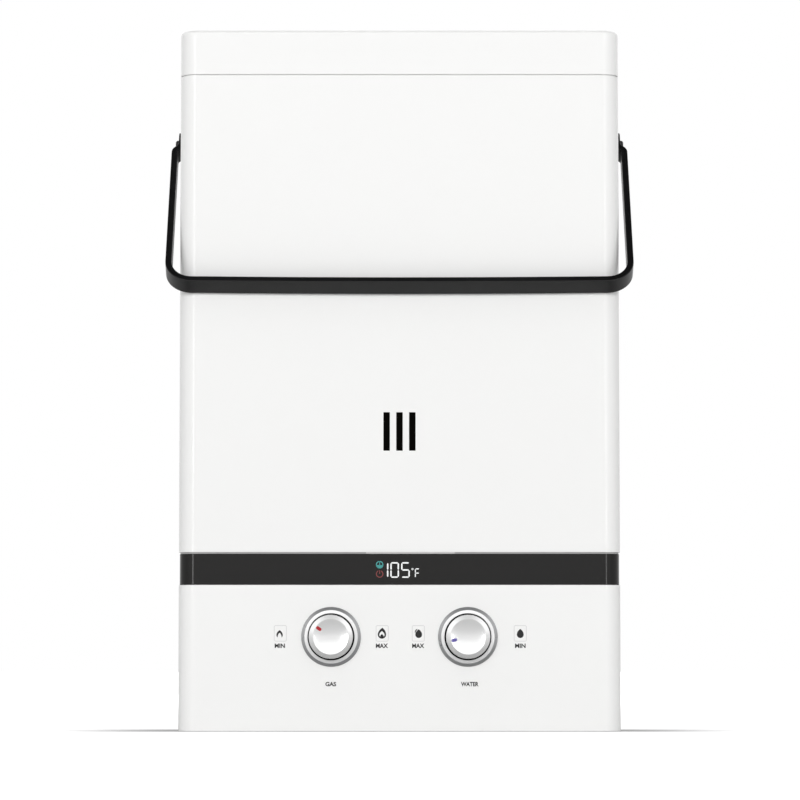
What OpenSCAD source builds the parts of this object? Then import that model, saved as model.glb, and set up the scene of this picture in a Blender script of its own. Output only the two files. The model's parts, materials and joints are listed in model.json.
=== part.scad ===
// Portable propane water heater with a carrying bail, in millimetres.
// +Z is up and the control panel faces -Y. The origin lies on the ground, under the middle
// of the heater's outline. Inside case_frame() y = 0 is the middle of the case's depth.

/* [Case] */
// Width of the case from side to side
case_w = 344; // [330:1:380]
// Depth of the case from front to back
case_d = 170; // [168:1:200]
// Height from the ground to the top of the cap
case_h = 548; // [535:1:620]
// Radius of the two upright front corners
corner_r = 14; // [8:1:20]
// Thickness of the sheet metal
sheet_t = 1.2; // [0.8:0.1:1.6]
// Thickness of the moulded plastic walls
mould_t = 2.5; // [2:0.1:3]
// Height of the top cap's skirt
cap_h = 35; // [28:1:45]
// Radius along the cap's upper edge
cap_edge_r = 3; // [1.5:0.5:6]
// Fine gap between the cap and the shells under it
cap_groove = 0.8; // [0.4:0.1:1.5]
// Depth of the cap's lip inside the shell
lip_h = 7; // [4:1:12]
// Height of the control panel's shell over its underside
lower_h = 112.2; // [108:0.1:130]
// Height of the dark display band
band_h = 24.2; // [18:0.1:30]
// How far the display band lies back from the white faces
band_inset = 0.7; // [0.4:0.1:1.5]
// Height of the fine trim strip over the band
trim_h = 1.3; // [1:0.1:3]
// How far the trim strip lies back from the white faces
trim_inset = 1.2; // [1:0.1:2]
// Width of the folded edges that the back panel is screwed to
flange_w = 12; // [10:1:16]

/* [Sight slots] */
// Number of sight slots
slot_count = 3; // [1:1:5]
// Width of a sight slot
slot_w = 5; // [3:0.5:6]
// Height of a sight slot
slot_h = 30; // [20:1:36]
// Radius of a sight slot's corners
slot_corner_r = 0.4; // [0.2:0.1:1.2]
// Distance from one sight slot to the next
slot_pitch = 10; // [8:0.5:12]
// Height of the slots' lower ends over the shell's lower edge
slot_rise = 78.8; // [74:0.1:90]
// Thickness of the mica sight window
mica_t = 0.8; // [0.5:0.1:1.2]

/* [Feet] */
// Radius of a rubber foot
foot_r = 9; // [7:0.5:12]
// How far the case stands over the ground on its feet
foot_proud = 1; // [0.5:0.1:6]
// Radius of a foot's stem
foot_stem_r = 4; // [3:0.5:5]
// Distance of each foot's centre from the case's sides
foot_in = 30; // [22:1:45]

/* [Handle] */
// Depth of the handle's pivot under the top of the cap
pivot_drop = 78.7; // [72:0.1:95]
// Width of the handle's strap
strap_w = 14.5; // [9:0.5:16]
// Thickness of the handle's strap
strap_t = 5; // [4:0.5:6]
// Rounding along the strap's edges
strap_edge_r = 1.5; // [0.8:0.1:1.9]
// Distance from the pivot to the middle of the grip bar
arm_len = 154.6; // [148:0.2:170]
// How far the strap's eye reaches past the pivot
eye_reach = 3.2; // [3:0.1:8]
// Gap between the eye and the side of the case
eye_gap = 0.5; // [0.4:0.1:1]
// Sideways step of each arm, away from the case
arm_step = 5.3; // [3.2:0.1:7]
// Mean radius of the two bends of that step
step_r = 5; // [4.5:0.1:5.4]
// Distance from the pivot to the start of the step
step_start = 5; // [4.5:0.1:8]
// Mean radius of the bends between arms and grip bar
handle_bend_r = 18.5; // [14:0.5:26]
// How far the middle of the grip bar is bowed away from the pivot
grip_bow = 1.2; // [0:0.1:4]
// Gap between the resting grip bar and the case
rest_gap = 0.4; // [0.3:0.1:1]
// Radius of the pivot screw's shoulder
shoulder_r = 2.6; // [2.2:0.1:3]
// Radius of the pivot screw's head
pivot_head_r = 3.5; // [3.3:0.1:5]
// Height of the pivot screw's head
pivot_head_h = 2.6; // [2:0.1:3.5]

/* [Knobs] */
// Distance of each knob's axis from the middle of the panel
knob_x = 53; // [50:1:58]
// Height of the knobs' axes over the ground
knob_z = 73; // [70:1:76]
// Radius of a knob
knob_r = 17; // [14:0.5:19]
// How far the knobs stand out of the panel
knob_out = 17; // [15:0.5:24]
// Radius of the dish in a knob's face
dish_r = 13.5; // [10:0.5:13.5]
// Depth of the dish in a knob's face
dish_depth = 1.6; // [1:0.1:2.4]
// Height of the sloping ring between a knob's side and its dish
knob_slope_h = 1.4; // [0.6:0.1:2.4]
// Gap between a knob and its bezel
knob_gap = 1; // [0.6:0.1:1.5]
// Width of a bezel's visible ring
bezel_w = 5.15; // [4:0.05:6.5]
// How far a bezel stands out of the panel
bezel_out = 2.4; // [1.5:0.1:3.5]
// Radius of a valve spindle
spindle_r = 3; // [2.5:0.1:3.5]

/* [Hose connections] */
// Depth of the connection bay in the back
bay_depth = 35; // [32:1:36]
// Left end of the bay's opening, from the middle of the case
bay_left = -82; // [-95:1:-78]
// Right end of the bay's opening, from the middle of the case
bay_right = 68; // [66:1:76]
// Height of the bay's lower edge over the ground
bay_low = 12; // [10:1:14]
// Height of the bay's opening
bay_h = 50; // [46:1:56]
// Height of the three fittings' axes over the ground
fitting_z = 37; // [35:1:39]
// Place of the cold water inlet, from the middle of the case
cold_x = 2; // [-2:1:3]
// Distance from the cold inlet to the hot outlet
water_pitch = 44; // [42:1:46]
// Outer radius of the half-inch water thread
water_thread_r = 10.475; // [8:0.005:12]
// Outer radius of the flare gas thread
gas_thread_r = 7.94; // [6:0.01:9]
// Length of each thread that a hose screws on to
thread_len = 14; // [10:0.5:18]
// Radius of the water way through a fitting
fitting_bore_r = 7; // [6:0.1:7.4]

/* [Battery bay] */
// Radius of a battery cell
cell_r = 16.6; // [15:0.1:17]
// Length of a battery cell
cell_len = 61.5; // [50:0.5:62]
// Free room round the cells
cell_gap = 0.5; // [0.4:0.1:1]
// Height of the battery box's inner floor over the ground
battery_low = 12; // [10:0.5:14]
// Thickness of the battery door
door_t = 3.2; // [2.6:0.2:4]
// Gap round the battery door
door_gap = 0.4; // [0.3:0.1:0.6]
// Radius of the door's hinge pins
door_pin_r = 1; // [0.8:0.1:1.1]

/* [Heat exchanger] */
// Width of the combustion chamber
chamber_w = 236; // [226:2:240]
// Depth of the combustion chamber
chamber_d = 112; // [106:1:116]
// Height of the combustion chamber
chamber_h = 130; // [122:1:140]
// How far the chamber's middle lies behind the middle of the case
chamber_back = 6; // [4:1:8]
// Height of the heat exchanger's fin block
fin_h = 70; // [60:1:80]
// Number of fins
fin_count = 25; // [15:1:30]
// Thickness of a fin
fin_t = 0.8; // [0.5:0.1:1.2]
// Number of tubes through the fins
tube_count = 5; // [3:2:5]
// Outer radius of a tube through the fins
tube_r = 7; // [6:0.5:8]
// Outer radius of the water pipes
pipe_r = 6; // [5:0.5:6.5]
// Wall of the water pipes and tubes
pipe_t = 1; // [0.8:0.1:1.5]
// Mean bend radius of the water pipes
pipe_bend = 9; // [8.5:0.5:10]
// Width of the exhaust opening in the cap
exhaust_w = 210; // [180:5:220]
// Depth of the exhaust opening in the cap
exhaust_d = 64; // [50:2:76]

/* [Burner] */
// Number of burner bars
bar_count = 12; // [8:1:13]
// Thickness of a burner bar
bar_t = 11; // [8:0.5:13]
// Height of a burner bar
bar_h = 35; // [30:1:36]
// How far the bars' tops lie under the sight slots
bar_drop = 9; // [6:1:12]
// Radius of the burner manifold
manifold_r = 7; // [6:0.5:8]
// Radius of a burner nozzle
nozzle_r = 3; // [2:0.5:3.5]

/* [Screws] */
// Radius of the case screws' heads
screw_head_r = 3.6; // [3:0.1:4]
// Height of the case screws' heads
screw_head_h = 2; // [1.5:0.1:2.6]
// Radius of the case screws' shanks
screw_r = 1.7; // [1.4:0.1:2]
// Length of the case screws' shanks
screw_len = 9; // [8:0.5:12]

/* [Hidden] */
$fn = 64;

// Colours
WHITE = [0.96, 0.96, 0.95];
BAND = [0.16, 0.16, 0.16];
DARK = [0.13, 0.13, 0.13];
STEEL = [0.72, 0.73, 0.75];
COPPER = [0.78, 0.45, 0.3];
BRASS = [0.8, 0.66, 0.35];
RUBBER = [0.1, 0.1, 0.1];

// Small distances: overrun of a cut, running clearance of a shaft, loose fit of a fastener, and
// the gap between two plates
over = 1;
running = 0.05;
loose = 0.1;
plate_gap = 0.3;

// Main planes of the case, in the case frame
side_x = case_w / 2;
front_y = -case_d / 2;
back_y = case_d / 2;
wall_back = back_y - sheet_t;
mid_y = (knob_out - screw_head_h) / 2;

// Levels over the ground
floor_z = foot_proud;
lower_top = floor_z + lower_h;
band_top = lower_top + band_h;
shell_low = band_top + trim_h;
cap_low = case_h - cap_h;
shell_top = cap_low - cap_groove;
slot_low = shell_low + slot_rise;
pivot_z = case_h - pivot_drop;
inner_floor = floor_z + mould_t;
cap_inside = case_h - sheet_t;

// Handle at rest: the ends of its bowed bar lean on the flat front, rest_gap off the case
eye_x = side_x + eye_gap + strap_t / 2;
arm_x = eye_x + arm_step;
grip_half = arm_x - handle_bend_r;
rest_edge = case_d / 2 + rest_gap + strap_edge_r;
lean_share = (side_x - corner_r) / grip_half;
inner_reach = arm_len - grip_bow * lean_share * lean_share - strap_t / 2 + strap_edge_r;
inner_half = strap_w / 2 - strap_edge_r;
rest_angle = asin(rest_edge / norm([inner_reach, inner_half])) + atan2(inner_half, inner_reach);

// Step of the arms: two equal bends of step_turn with a straight between them
step_turn = 45;
step_mid = (arm_step - 2 * step_r * (1 - cos(step_turn))) / sin(step_turn);
step_len = 2 * step_r * sin(step_turn) + step_mid * cos(step_turn);

// Valves behind the knobs, each with a plug that the spindle turns
valve_w = 44;
valve_in = 25;
valve_d = 56;
valve_under = 9;
valve_over = 20;
valve_front = front_y + valve_in;
valve_back = valve_front + valve_d;
valve_low = fitting_z - valve_under;
valve_top = knob_z + valve_over;
valve_wall = 8;
plug_r = 10;
plug_len = 30;
plug_front = valve_front + valve_wall + 2;
plug_back = plug_front + plug_len;
plug_bore_r = 3;
rear_port_l = 12;
top_port_l = 8;
spindle_out = knob_out - dish_depth - 2.6;

// Bezels: a neck through the panel's hole, and a ring that lies on its face
bezel_neck_r = knob_r + knob_gap + 1.8;
bezel_r = knob_r + knob_gap + bezel_w;
bezel_depth = 6;

// Handle pivots: a shoulder screw through the case into a nut plate
pivot_thread_r = 2;
pivot_plate_t = 3;
pivot_plate_w = 30;
pivot_tip = 4;
washer_t = eye_gap - 0.1;

// Back panel: air louvres and keyholes for hanging
louvre_rows = 8;
louvre_pitch = 12;
louvre_l = 70;
louvre_w = 5;
louvre_gap = 18;
louvre_rise = 10;
keyhole_x = 60;
keyhole_r = 5;
keyhole_slot_r = 2.5;
keyhole_len = 10;
keyhole_drop = 35;
bracket_w = 20;
bracket_down = 18;
bracket_up = 22;

// Air slots in the underside
air_count = 7;
air_pitch = 16;
air_l = 40;
air_w = 5;
air_y = back_y - 45;

// Burner and heat exchanger levels
bar_top = slot_low - bar_drop;
bar_low = bar_top - bar_h;
tray_low = bar_low - sheet_t;
chamber_low = bar_low + 18;
chamber_top = chamber_low + chamber_h;
fin_top = chamber_top + fin_h;
chamber_t = 1;
chamber_front = chamber_back - chamber_d / 2;
chamber_rear = chamber_back + chamber_d / 2;
block_w = chamber_w - 12;
tube_z = chamber_top + fin_h / 2;
tube_pitch = 20;
tube_end = block_w / 2 + 3;
tube_y0 = chamber_back - (tube_count - 1) / 2 * tube_pitch;
coil_clear = (pipe_bend - pipe_r) * (1 - sqrt(0.5)) + plate_gap;
coil_out = pipe_r + ceil(10 * coil_clear) / 10;
coil_x = chamber_w / 2 + coil_out;
coil_front = chamber_front - coil_out;
coil_rear = chamber_rear + coil_out;
coil_low = slot_low + 48.5;
coil_high = coil_low + 34;
coil_start = chamber_low + 24;
riser_y = chamber_rear - 32;
coil_step_y = chamber_front + 30;
hood_top = fin_top + 38;

// Burner feed
bar_pitch = (chamber_w - 2 * sheet_t - 6 - bar_t) / (bar_count - 1);
manifold_y = chamber_front - 16;
manifold_z = bar_low + 8;
manifold_t = 2;
feed_x = -knob_x - 13;
feed_y = valve_front + 16;
feed_turn_z = manifold_z - 31.5;
nozzle_shank_r = nozzle_r - 0.8;
jet_r = 0.6;

// Gas solenoid on the valve, and its plunger
solenoid_x = -knob_x + 9;
solenoid_y = valve_front + 32;
solenoid_r = 13;
solenoid_h = 33;
yoke_w = 16;
yoke_t = 1.5;
plunger_r = 4;
plunger_travel = 3;

// Water valve: its diaphragm housing pushes the rod out towards the microswitch
rod_y = valve_front + 28;
rod_z = knob_z - 13;
rod_r = 2;
disc_r = 24;
disc_t = 10;
boss_r = 8;
boss_out = 3;
valve_side = knob_x - valve_w / 2;
rod_out = 9;
rod_tip = valve_side - disc_t - rod_out;
drain_r = 7;
drain_neck_r = drain_r - 3;
drain_bore_l = 8;
drain_head_h = 9;

// Water pipes
cold_turn_y = valve_back + 14;
rise_x = knob_x + 7;
rise_y = valve_front + 30;
cold_turn_z = manifold_z - 31.5;
hot_fall_x = coil_x + 18;
hot_fall_y = tube_y0 + (tube_count - 1) * tube_pitch;
hot_turn_z = fitting_z + 53;
hot_down_y = hot_fall_y - 20;

// Connection panel and fittings
bay_screw = 5;
bay_back = wall_back - bay_depth;
bay_face = bay_back + sheet_t;
hex_h = 6;
water_hex_r = water_thread_r + 5.125;
gas_hex_r = gas_thread_r + 3.56;
fitting_in = bay_back - 11;
fitting_shank_r = 8.2;
fitting_lead = 1;
filter_seat = 2;
filter_l = 14;
nut_r = 13.5;
nut_h = 6;
gas_x = -knob_x;
hot_x = cold_x + water_pitch;

// Battery bay
box_t = 2;
cell_room = cell_r + cell_gap;
box_half = 2 * cell_room + cell_gap;
battery_x = bay_right + 2 * bay_screw + plate_gap + box_half + box_t;
box_top = battery_low + 2 * cell_room;
cell_z = battery_low + cell_r + loose;
door_low = battery_low + door_gap;
door_high = box_top - door_gap;
door_axis_y = back_y - door_t / 2;
door_axis_z = door_low + door_t / 2;
cells_back = back_y - door_t - cell_gap;
cells_front = cells_back - cell_len;
contact_t = 0.5;
contact_w = 16;
box_front = cells_front - contact_t - loose;

// Microswitch, its lever and the roller that the push rod presses
lever_t = 0.6;
lever_w = 5;
roller_r = 2;
roller_x = rod_tip - roller_r - plate_gap;
switch_front = rod_y - 15;
switch_len = 28;
switch_t = 10;
switch_right = roller_x - 7.7;
switch_depth = 12;
switch_low = rod_z - switch_t / 2;
switch_hole_r = 1.3;
lever_pivot = [switch_right + 2.5, switch_front + 2.5];
lever_pin_r = 0.75;
ear_w = 3.2;
ear_t = 1.5;

// Electrodes: a spark pair and a flame probe
electrode_z = slot_low + 8;
electrode_places = [34, 48, 66];
insulator_r = 3;
insulator_l = 26;
insulator_out = 10;
wire_r = 1;
wire_l = 46;
wire_out = 14;
mica_rim = 5;
sight_w = slot_count * slot_pitch + 2 * mica_rim;

// Igniter and its lead
igniter_x = -(side_x - 49);
igniter_z = bay_low + bay_h + 28;
igniter_size = [54, 30, 66];
igniter_rim = 4;
lead_r = 2;
lead_bore_r = 0.5;
lead_bend = 5;
lead_rise = 12;
lead_side_x = -(side_x - 24);
lead_y = front_y + 13;
lead_z = slot_low - 13.5;

// Display unit behind the band
display_z = (lower_top + band_top) / 2;
display_y = front_y + band_inset + mould_t;
lens_w = 50;
lens_t = 7;
lens_h = band_h * 0.72;
board_w = 84;
board_t = 1.6;
board_h = band_h * 0.9;
post_x = 37;
post_r = 1.5;

// Screw places in the back panel: [x, z]
low_screw = 40;
mid_screw = 170;
top_screw = 30;
bracket_in = 41.28;
box_screw_x = 20;
edge_x = side_x - flange_w / 2;
edge_levels = [lower_top * 0.75, shell_low + low_screw, shell_low + mid_screw,
    shell_top - top_screw];
bracket_x = side_x - bracket_in;
panel_screws = [
    for (s = [-1, 1], z = edge_levels) [s * edge_x, z],
    for (s = [-1, 1]) [s * bracket_x, shell_top - bracket_down / 2 - 1],
    for (s = [-1, 1]) [s * bracket_x, cap_low + bracket_up / 2 + 3],
    for (x = [bay_left - bay_screw, bay_right + bay_screw]) [x, bay_low + bay_h - bay_screw - 1],
    for (s = [-1, 1]) [battery_x + s * box_screw_x, box_top + box_t + bay_screw]
];

// ---------------------------------------------------------------- helpers

module case_frame() {
    translate([0, mid_y, 0]) children();
}

// Outline of the case seen from above, drawn in by inset and ending at the given back
module case_plan(inset, back) {
    w = side_x - inset;
    f = front_y + inset;
    r = max(corner_r - inset, 1);
    translate([-w, f + r]) square([2 * w, back - f - r]);
    translate([-w + r, f]) square([2 * (w - r), 2 * r]);
    for (s = [-1, 1]) translate([s * (w - r), f + r]) circle(r);
}

// A wall round the front and the two sides
module wrap(low, high, inset, t) {
    translate([0, 0, low]) linear_extrude(high - low) difference() {
        case_plan(inset, wall_back);
        case_plan(inset + t, wall_back + over);
    }
}

// An upright plate whose rear face is at y, drawn as seen from the front
module upright(y, t) {
    translate([0, y, 0]) rotate([90, 0, 0]) linear_extrude(t) children();
}

module round_rect(w, h, r) {
    square([w - 2 * r, h], center = true);
    square([w, h - 2 * r], center = true);
    for (sx = [-1, 1], sy = [-1, 1])
        translate([sx * (w / 2 - r), sy * (h / 2 - r)]) circle(r);
}

// A slot with round ends, l long over all and w wide, along X
module slot_2d(l, w) {
    square([l - w, w], center = true);
    for (s = [-1, 1]) translate([s * (l - w) / 2, 0]) circle(w / 2);
}

// A box open at the top and bottom, with walls t inside its outer size
module box_tube(w, d, h, t) {
    linear_extrude(h) difference() {
        square([w, d], center = true);
        square([w - 2 * t, d - 2 * t], center = true);
    }
}

// Turns what is drawn along +Z to point forward (-Y), backward (+Y) or sideways
module facing_front() {
    rotate([90, 0, 0]) children();
}

module facing_back() {
    rotate([-90, 0, 0]) children();
}

module facing_side(s) {
    rotate([0, s * 90, 0]) children();
}

module ring(r, t) {
    difference() {
        circle(r);
        circle(r - t);
    }
}

function unit(v) = v / norm(v);

// Frame whose Z runs along the direction z and whose X runs along x
module along(origin, x, z) {
    y = cross(z, x);
    multmatrix([
        [x[0], y[0], z[0], origin[0]],
        [x[1], y[1], z[1], origin[1]],
        [x[2], y[2], z[2], origin[2]],
        [0, 0, 0, 1]
    ]) children();
}

function square_to(v) = abs(v[2]) > 0.5 ? [1, 0, 0] : [0, 0, 1];

// A pipe along points joined by square turns, with true bends of mean radius b
module pipe_run(points, r, t, b) {
    last = len(points) - 1;
    for (i = [0:last - 1]) {
        d = unit(points[i + 1] - points[i]);
        cut0 = i == 0 ? 0 : b;
        cut1 = i == last - 1 ? 0 : b;
        span = norm(points[i + 1] - points[i]) - cut0 - cut1;
        along(points[i] + cut0 * d, square_to(d), d) linear_extrude(span) ring(r, t);
    }
    if (last > 1) {
        for (i = [1:last - 1]) {
            d0 = unit(points[i] - points[i - 1]);
            d1 = unit(points[i + 1] - points[i]);
            along(points[i] - b * d0 + b * d1, -d1, cross(d0, d1))
                rotate_extrude(angle = 90) translate([b, 0]) ring(r, t);
        }
    }
}

// A pan-head screw: head on +Z from the seat at z = 0, shank below
module pan_screw(head_r, head_h, shank_r, shank_len) {
    rim_h = head_h * 0.6;
    crown_r = head_r * 0.72;
    recess = 0.9;
    difference() {
        union() {
            cylinder(r = head_r, h = rim_h);
            translate([0, 0, rim_h]) cylinder(r1 = head_r, r2 = crown_r, h = head_h - rim_h);
            translate([0, 0, -shank_len]) cylinder(r = shank_r, h = shank_len + rim_h / 2);
        }
        for (a = [0, 90]) rotate([0, 0, a]) translate([0, 0, head_h])
            cube([head_r * 1.1, recess, head_h], center = true);
    }
}

module at_knob(s) {
    translate([s * knob_x, front_y, knob_z]) facing_front() children();
}

// Handle frame: its Z runs from the pivot along the resting arms, towards the grip bar
module handle_frame() {
    translate([0, 0, pivot_z]) rotate([180 - rest_angle, 0, 0]) children();
}

// ---------------------------------------------------------------- casing

module front_shell() {
    color(WHITE) case_frame() difference() {
        union() {
            wrap(shell_low, shell_top, 0, sheet_t);
            for (s = [-1, 1])
                translate([s * (side_x - flange_w / 2), wall_back - sheet_t / 2,
                    (shell_low + shell_top) / 2])
                    cube([flange_w, sheet_t, shell_top - shell_low], center = true);
            translate([0, 0, shell_low]) linear_extrude(sheet_t) difference() {
                case_plan(0, wall_back);
                case_plan(flange_w / 2, wall_back + over);
            }
        }
        for (i = [0:slot_count - 1])
            translate([(i - (slot_count - 1) / 2) * slot_pitch, 0, slot_low + slot_h / 2])
                upright(front_y + sheet_t + over, sheet_t + 2 * over)
                    round_rect(slot_w, slot_h, slot_corner_r);
        for (s = [-1, 1]) translate([s * side_x, 0, pivot_z]) facing_side(s)
            cylinder(r = pivot_thread_r + loose, h = 4 * sheet_t, center = true);
        screw_holes(wall_back, sheet_t);
    }
}

// Holes for the case screws through a wall whose rear face is at y
module screw_holes(y, t) {
    for (p = panel_screws)
        translate([p[0], y - t / 2, p[1]]) facing_back()
            cylinder(r = screw_r + running, h = t + over, center = true);
}

// A case-shaped block with a rounded upper edge
module crowned_block(inset, low, high, back) {
    w = side_x - inset;
    f = front_y + inset;
    r = max(corner_r - inset, cap_edge_r + 0.5);
    e = cap_edge_r;
    translate([0, 0, low]) linear_extrude(high - low - e) {
        translate([-w, f + r]) square([2 * w, back - f - r]);
        translate([-w + r, f]) square([2 * (w - r), 2 * r]);
        for (s = [-1, 1]) translate([s * (w - r), f + r]) circle(r);
    }
    for (s = [-1, 1]) translate([s * (w - r), f + r, high - e]) rotate_extrude()
        intersection() {
            union() {
                square([r - e, e]);
                translate([r - e, 0]) circle(e);
            }
            square([r, e]);
        }
    translate([0, 0, high - e]) intersection() {
        union() {
            translate([0, f + e, 0]) facing_side(1)
                cylinder(r = e, h = 2 * (w - r), center = true);
            translate([-(w - r), f + e, 0]) cube([2 * (w - r), back - f - e, e]);
        }
        translate([-(w - r), f, 0]) cube([2 * (w - r), back - f, e]);
    }
    for (s = [-1, 1]) translate([0, 0, high - e]) intersection() {
        union() {
            translate([s * (w - e), (f + r + back) / 2, 0]) facing_front()
                cylinder(r = e, h = back - f - r, center = true);
            translate([s * (w - r) - (s < 0 ? r - e : 0), f + r, 0])
                cube([r - e, back - f - r, e]);
        }
        translate([s > 0 ? w - r : -w, f + r, 0]) cube([r, back - f - r, e]);
    }
}

module top_cap() {
    color(WHITE) case_frame() difference() {
        union() {
            difference() {
                crowned_block(0, cap_low, case_h, back_y);
                crowned_block(sheet_t, cap_low - over, cap_inside, back_y - sheet_t);
            }
            translate([0, 0, cap_low - lip_h]) linear_extrude(lip_h + sheet_t) difference() {
                case_plan(sheet_t + plate_gap, wall_back - sheet_t - plate_gap);
                case_plan(2 * sheet_t + plate_gap, wall_back - 2 * sheet_t - plate_gap);
            }
            translate([0, 0, cap_low]) linear_extrude(sheet_t) difference() {
                case_plan(sheet_t / 2, wall_back + sheet_t / 2);
                case_plan(2 * sheet_t + plate_gap, wall_back - 2 * sheet_t - plate_gap);
            }
        }
        translate([0, chamber_back, case_h]) linear_extrude(4 * sheet_t, center = true)
            round_rect(exhaust_w, exhaust_d, 4);
        screw_holes(back_y, 3 * sheet_t);
        for (s = [-1, 1])
            translate([s * bracket_x, wall_back - 2 * sheet_t, cap_low])
                cube([bracket_w + 1, 4 * sheet_t, 4 * lip_h], center = true);
    }
}

module exhaust_grille() {
    rim = 4;
    rows = 5;
    columns = 4;
    web = 6;
    open_share = 0.55;
    slot_l = (exhaust_w - (columns + 1) * web) / columns;
    color(STEEL) case_frame() translate([0, chamber_back, cap_inside - sheet_t])
        linear_extrude(sheet_t) difference() {
            square([exhaust_w + 2 * rim, exhaust_d + 2 * rim], center = true);
            for (i = [0:columns - 1], j = [0:rows - 1])
                translate([(i - (columns - 1) / 2) * (slot_l + web),
                    (j - (rows - 1) / 2) * exhaust_d / rows])
                    slot_2d(slot_l, exhaust_d / rows * open_share);
        }
}

module display_band() {
    color(BAND) case_frame() difference() {
        union() {
            wrap(lower_top, band_top, band_inset, mould_t);
            for (s = [-1, 1])
                translate([s * (side_x - band_inset - flange_w / 2), wall_back - mould_t / 2,
                    display_z])
                    cube([flange_w, mould_t, band_h], center = true);
        }
        screw_holes(wall_back, mould_t);
    }
}

module trim_strip() {
    color([0.7, 0.7, 0.7]) case_frame() wrap(band_top, shell_low, trim_inset, mould_t - 0.3);
}

module lower_shell() {
    color(WHITE) case_frame() difference() {
        union() {
            wrap(floor_z, lower_top, 0, mould_t);
            translate([0, 0, floor_z]) linear_extrude(mould_t)
                case_plan(mould_t / 2, wall_back);
            for (s = [-1, 1])
                translate([s * (side_x - flange_w / 2), wall_back - mould_t / 2,
                    (floor_z + lower_top) / 2])
                    cube([flange_w, mould_t, lower_h], center = true);
        }
        for (s = [-1, 1]) at_knob(s)
            cylinder(r = bezel_neck_r + loose, h = 3 * mould_t, center = true);
        for (p = foot_places()) translate([p[0], p[1], floor_z + mould_t / 2])
            cylinder(r = foot_stem_r + loose, h = mould_t + over, center = true);
        translate([knob_x, rod_y, floor_z + mould_t / 2])
            cylinder(r = drain_r + over, h = mould_t + over, center = true);
        for (i = [0:air_count - 1])
            translate([(i - (air_count - 1) / 2) * air_pitch - knob_x, air_y, floor_z])
                linear_extrude(3 * mould_t, center = true) rotate(90) slot_2d(air_l, air_w);
        screw_holes(wall_back, mould_t);
    }
}

function foot_places() = [
    for (sx = [-1, 1], sy = [-1, 1]) [sx * (side_x - foot_in), sy * (case_d / 2 - foot_in)]
];

module rubber_feet() {
    stem_tip = 2;
    color(RUBBER) case_frame() for (p = foot_places()) translate([p[0], p[1], 0]) {
        cylinder(r = foot_r, h = foot_proud);
        cylinder(r = foot_stem_r, h = foot_proud + mould_t + stem_tip);
    }
}

module back_panel() {
    h = shell_top - floor_z - plate_gap;
    corner = 2;
    color(WHITE) case_frame() upright(back_y, sheet_t) difference() {
        translate([0, shell_top - h / 2]) round_rect(case_w, h, corner);
        translate([(bay_left + bay_right) / 2, bay_low + bay_h / 2])
            square([bay_right - bay_left, bay_h], center = true);
        translate([battery_x, (battery_low + box_top) / 2])
            square([2 * (box_half + box_t + plate_gap), box_top - battery_low], center = true);
        for (c = [-1, 0, 1], i = [0:louvre_rows - 1])
            translate([c * (louvre_l + louvre_gap), shell_low + louvre_rise + i * louvre_pitch])
                slot_2d(louvre_l, louvre_w);
        for (s = [-1, 1]) translate([s * keyhole_x, shell_top - keyhole_drop]) {
            circle(keyhole_r);
            translate([0, keyhole_len / 2])
                square([2 * keyhole_slot_r, keyhole_len], center = true);
            translate([0, keyhole_len]) circle(keyhole_slot_r);
        }
        for (p = panel_screws) translate(p) circle(screw_r + loose);
    }
}

module cap_brackets() {
    z0 = shell_top - bracket_down;
    z1 = cap_low + bracket_up;
    color(STEEL) case_frame() difference() {
        for (s = [-1, 1]) translate([s * bracket_x, wall_back - sheet_t / 2, (z0 + z1) / 2])
            cube([bracket_w, sheet_t, z1 - z0], center = true);
        screw_holes(wall_back, sheet_t);
    }
}

module case_screws() {
    color(STEEL) case_frame() for (p = panel_screws)
        translate([p[0], back_y, p[1]]) facing_back()
            pan_screw(screw_head_r, screw_head_h, screw_r, screw_len);
}

module sight_window() {
    w = (slot_count - 1) * slot_pitch + slot_w + 2 * mica_rim;
    color([0.8, 0.8, 0.75]) case_frame()
        translate([0, 0, slot_low + slot_h / 2])
            upright(front_y + sheet_t + mica_t, mica_t) round_rect(w, slot_h + 2 * mica_rim, 2);
}

// ---------------------------------------------------------------- handle

// A ring of the strap is [x, z, lean, share]: the strap's middle, the lean of its run from +Z
// towards +X, and the share of the full width that it has there
function eye_rings() = [
    for (a = [18, 36, 54, 72, 90])
        [eye_x, -eye_reach - strap_w / 2 * cos(a), 0, sin(a)]
];

// Middle of a bend round [cx, cz] where the run leans by a; side is -1 for a bend to the left
function bend_ring(cx, cz, r, a, side) = [cx - side * r * cos(a), cz + side * r * sin(a), a, 1];

function step_rings() = concat(
    [for (a = [0, step_turn / 3, step_turn * 2 / 3, step_turn])
        bend_ring(eye_x + step_r, step_start, step_r, a, 1)],
    [for (a = [step_turn, step_turn * 2 / 3, step_turn / 3, 0])
        bend_ring(arm_x - step_r, step_start + step_len, step_r, a, -1)]
);

function corner_rings() = [
    for (a = [0, -15, -30, -45, -60, -75, -90])
        bend_ring(arm_x - handle_bend_r, arm_len - grip_bow - handle_bend_r, handle_bend_r, a, -1)
];

function grip_rings() = [
    for (k = [0.75, 0.5, 0.25, 0])
        [k * grip_half, arm_len - grip_bow * k * k, -90 + atan(2 * grip_bow * k / grip_half), 1]
];

function half_rings() = concat(eye_rings(), step_rings(), corner_rings(), grip_rings());

// Rounded section of the strap, [across the thickness, along the width]
strap_section = [
    for (q = [0:3], a = [0, 45, 90])
        [(q == 0 || q == 3 ? 1 : -1) * (strap_t / 2 - strap_edge_r) + strap_edge_r * cos(q * 90 + a),
            (q < 2 ? 1 : -1) * (strap_w / 2 - strap_edge_r) + strap_edge_r * sin(q * 90 + a)]
];

// Points of one ring on the side s of the handle
function ring_points(ring, s) = [
    for (p = strap_section)
        [s * (ring[0] + p[0] * cos(ring[2])), p[1] * ring[3], ring[1] - p[0] * sin(ring[2])]
];

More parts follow.
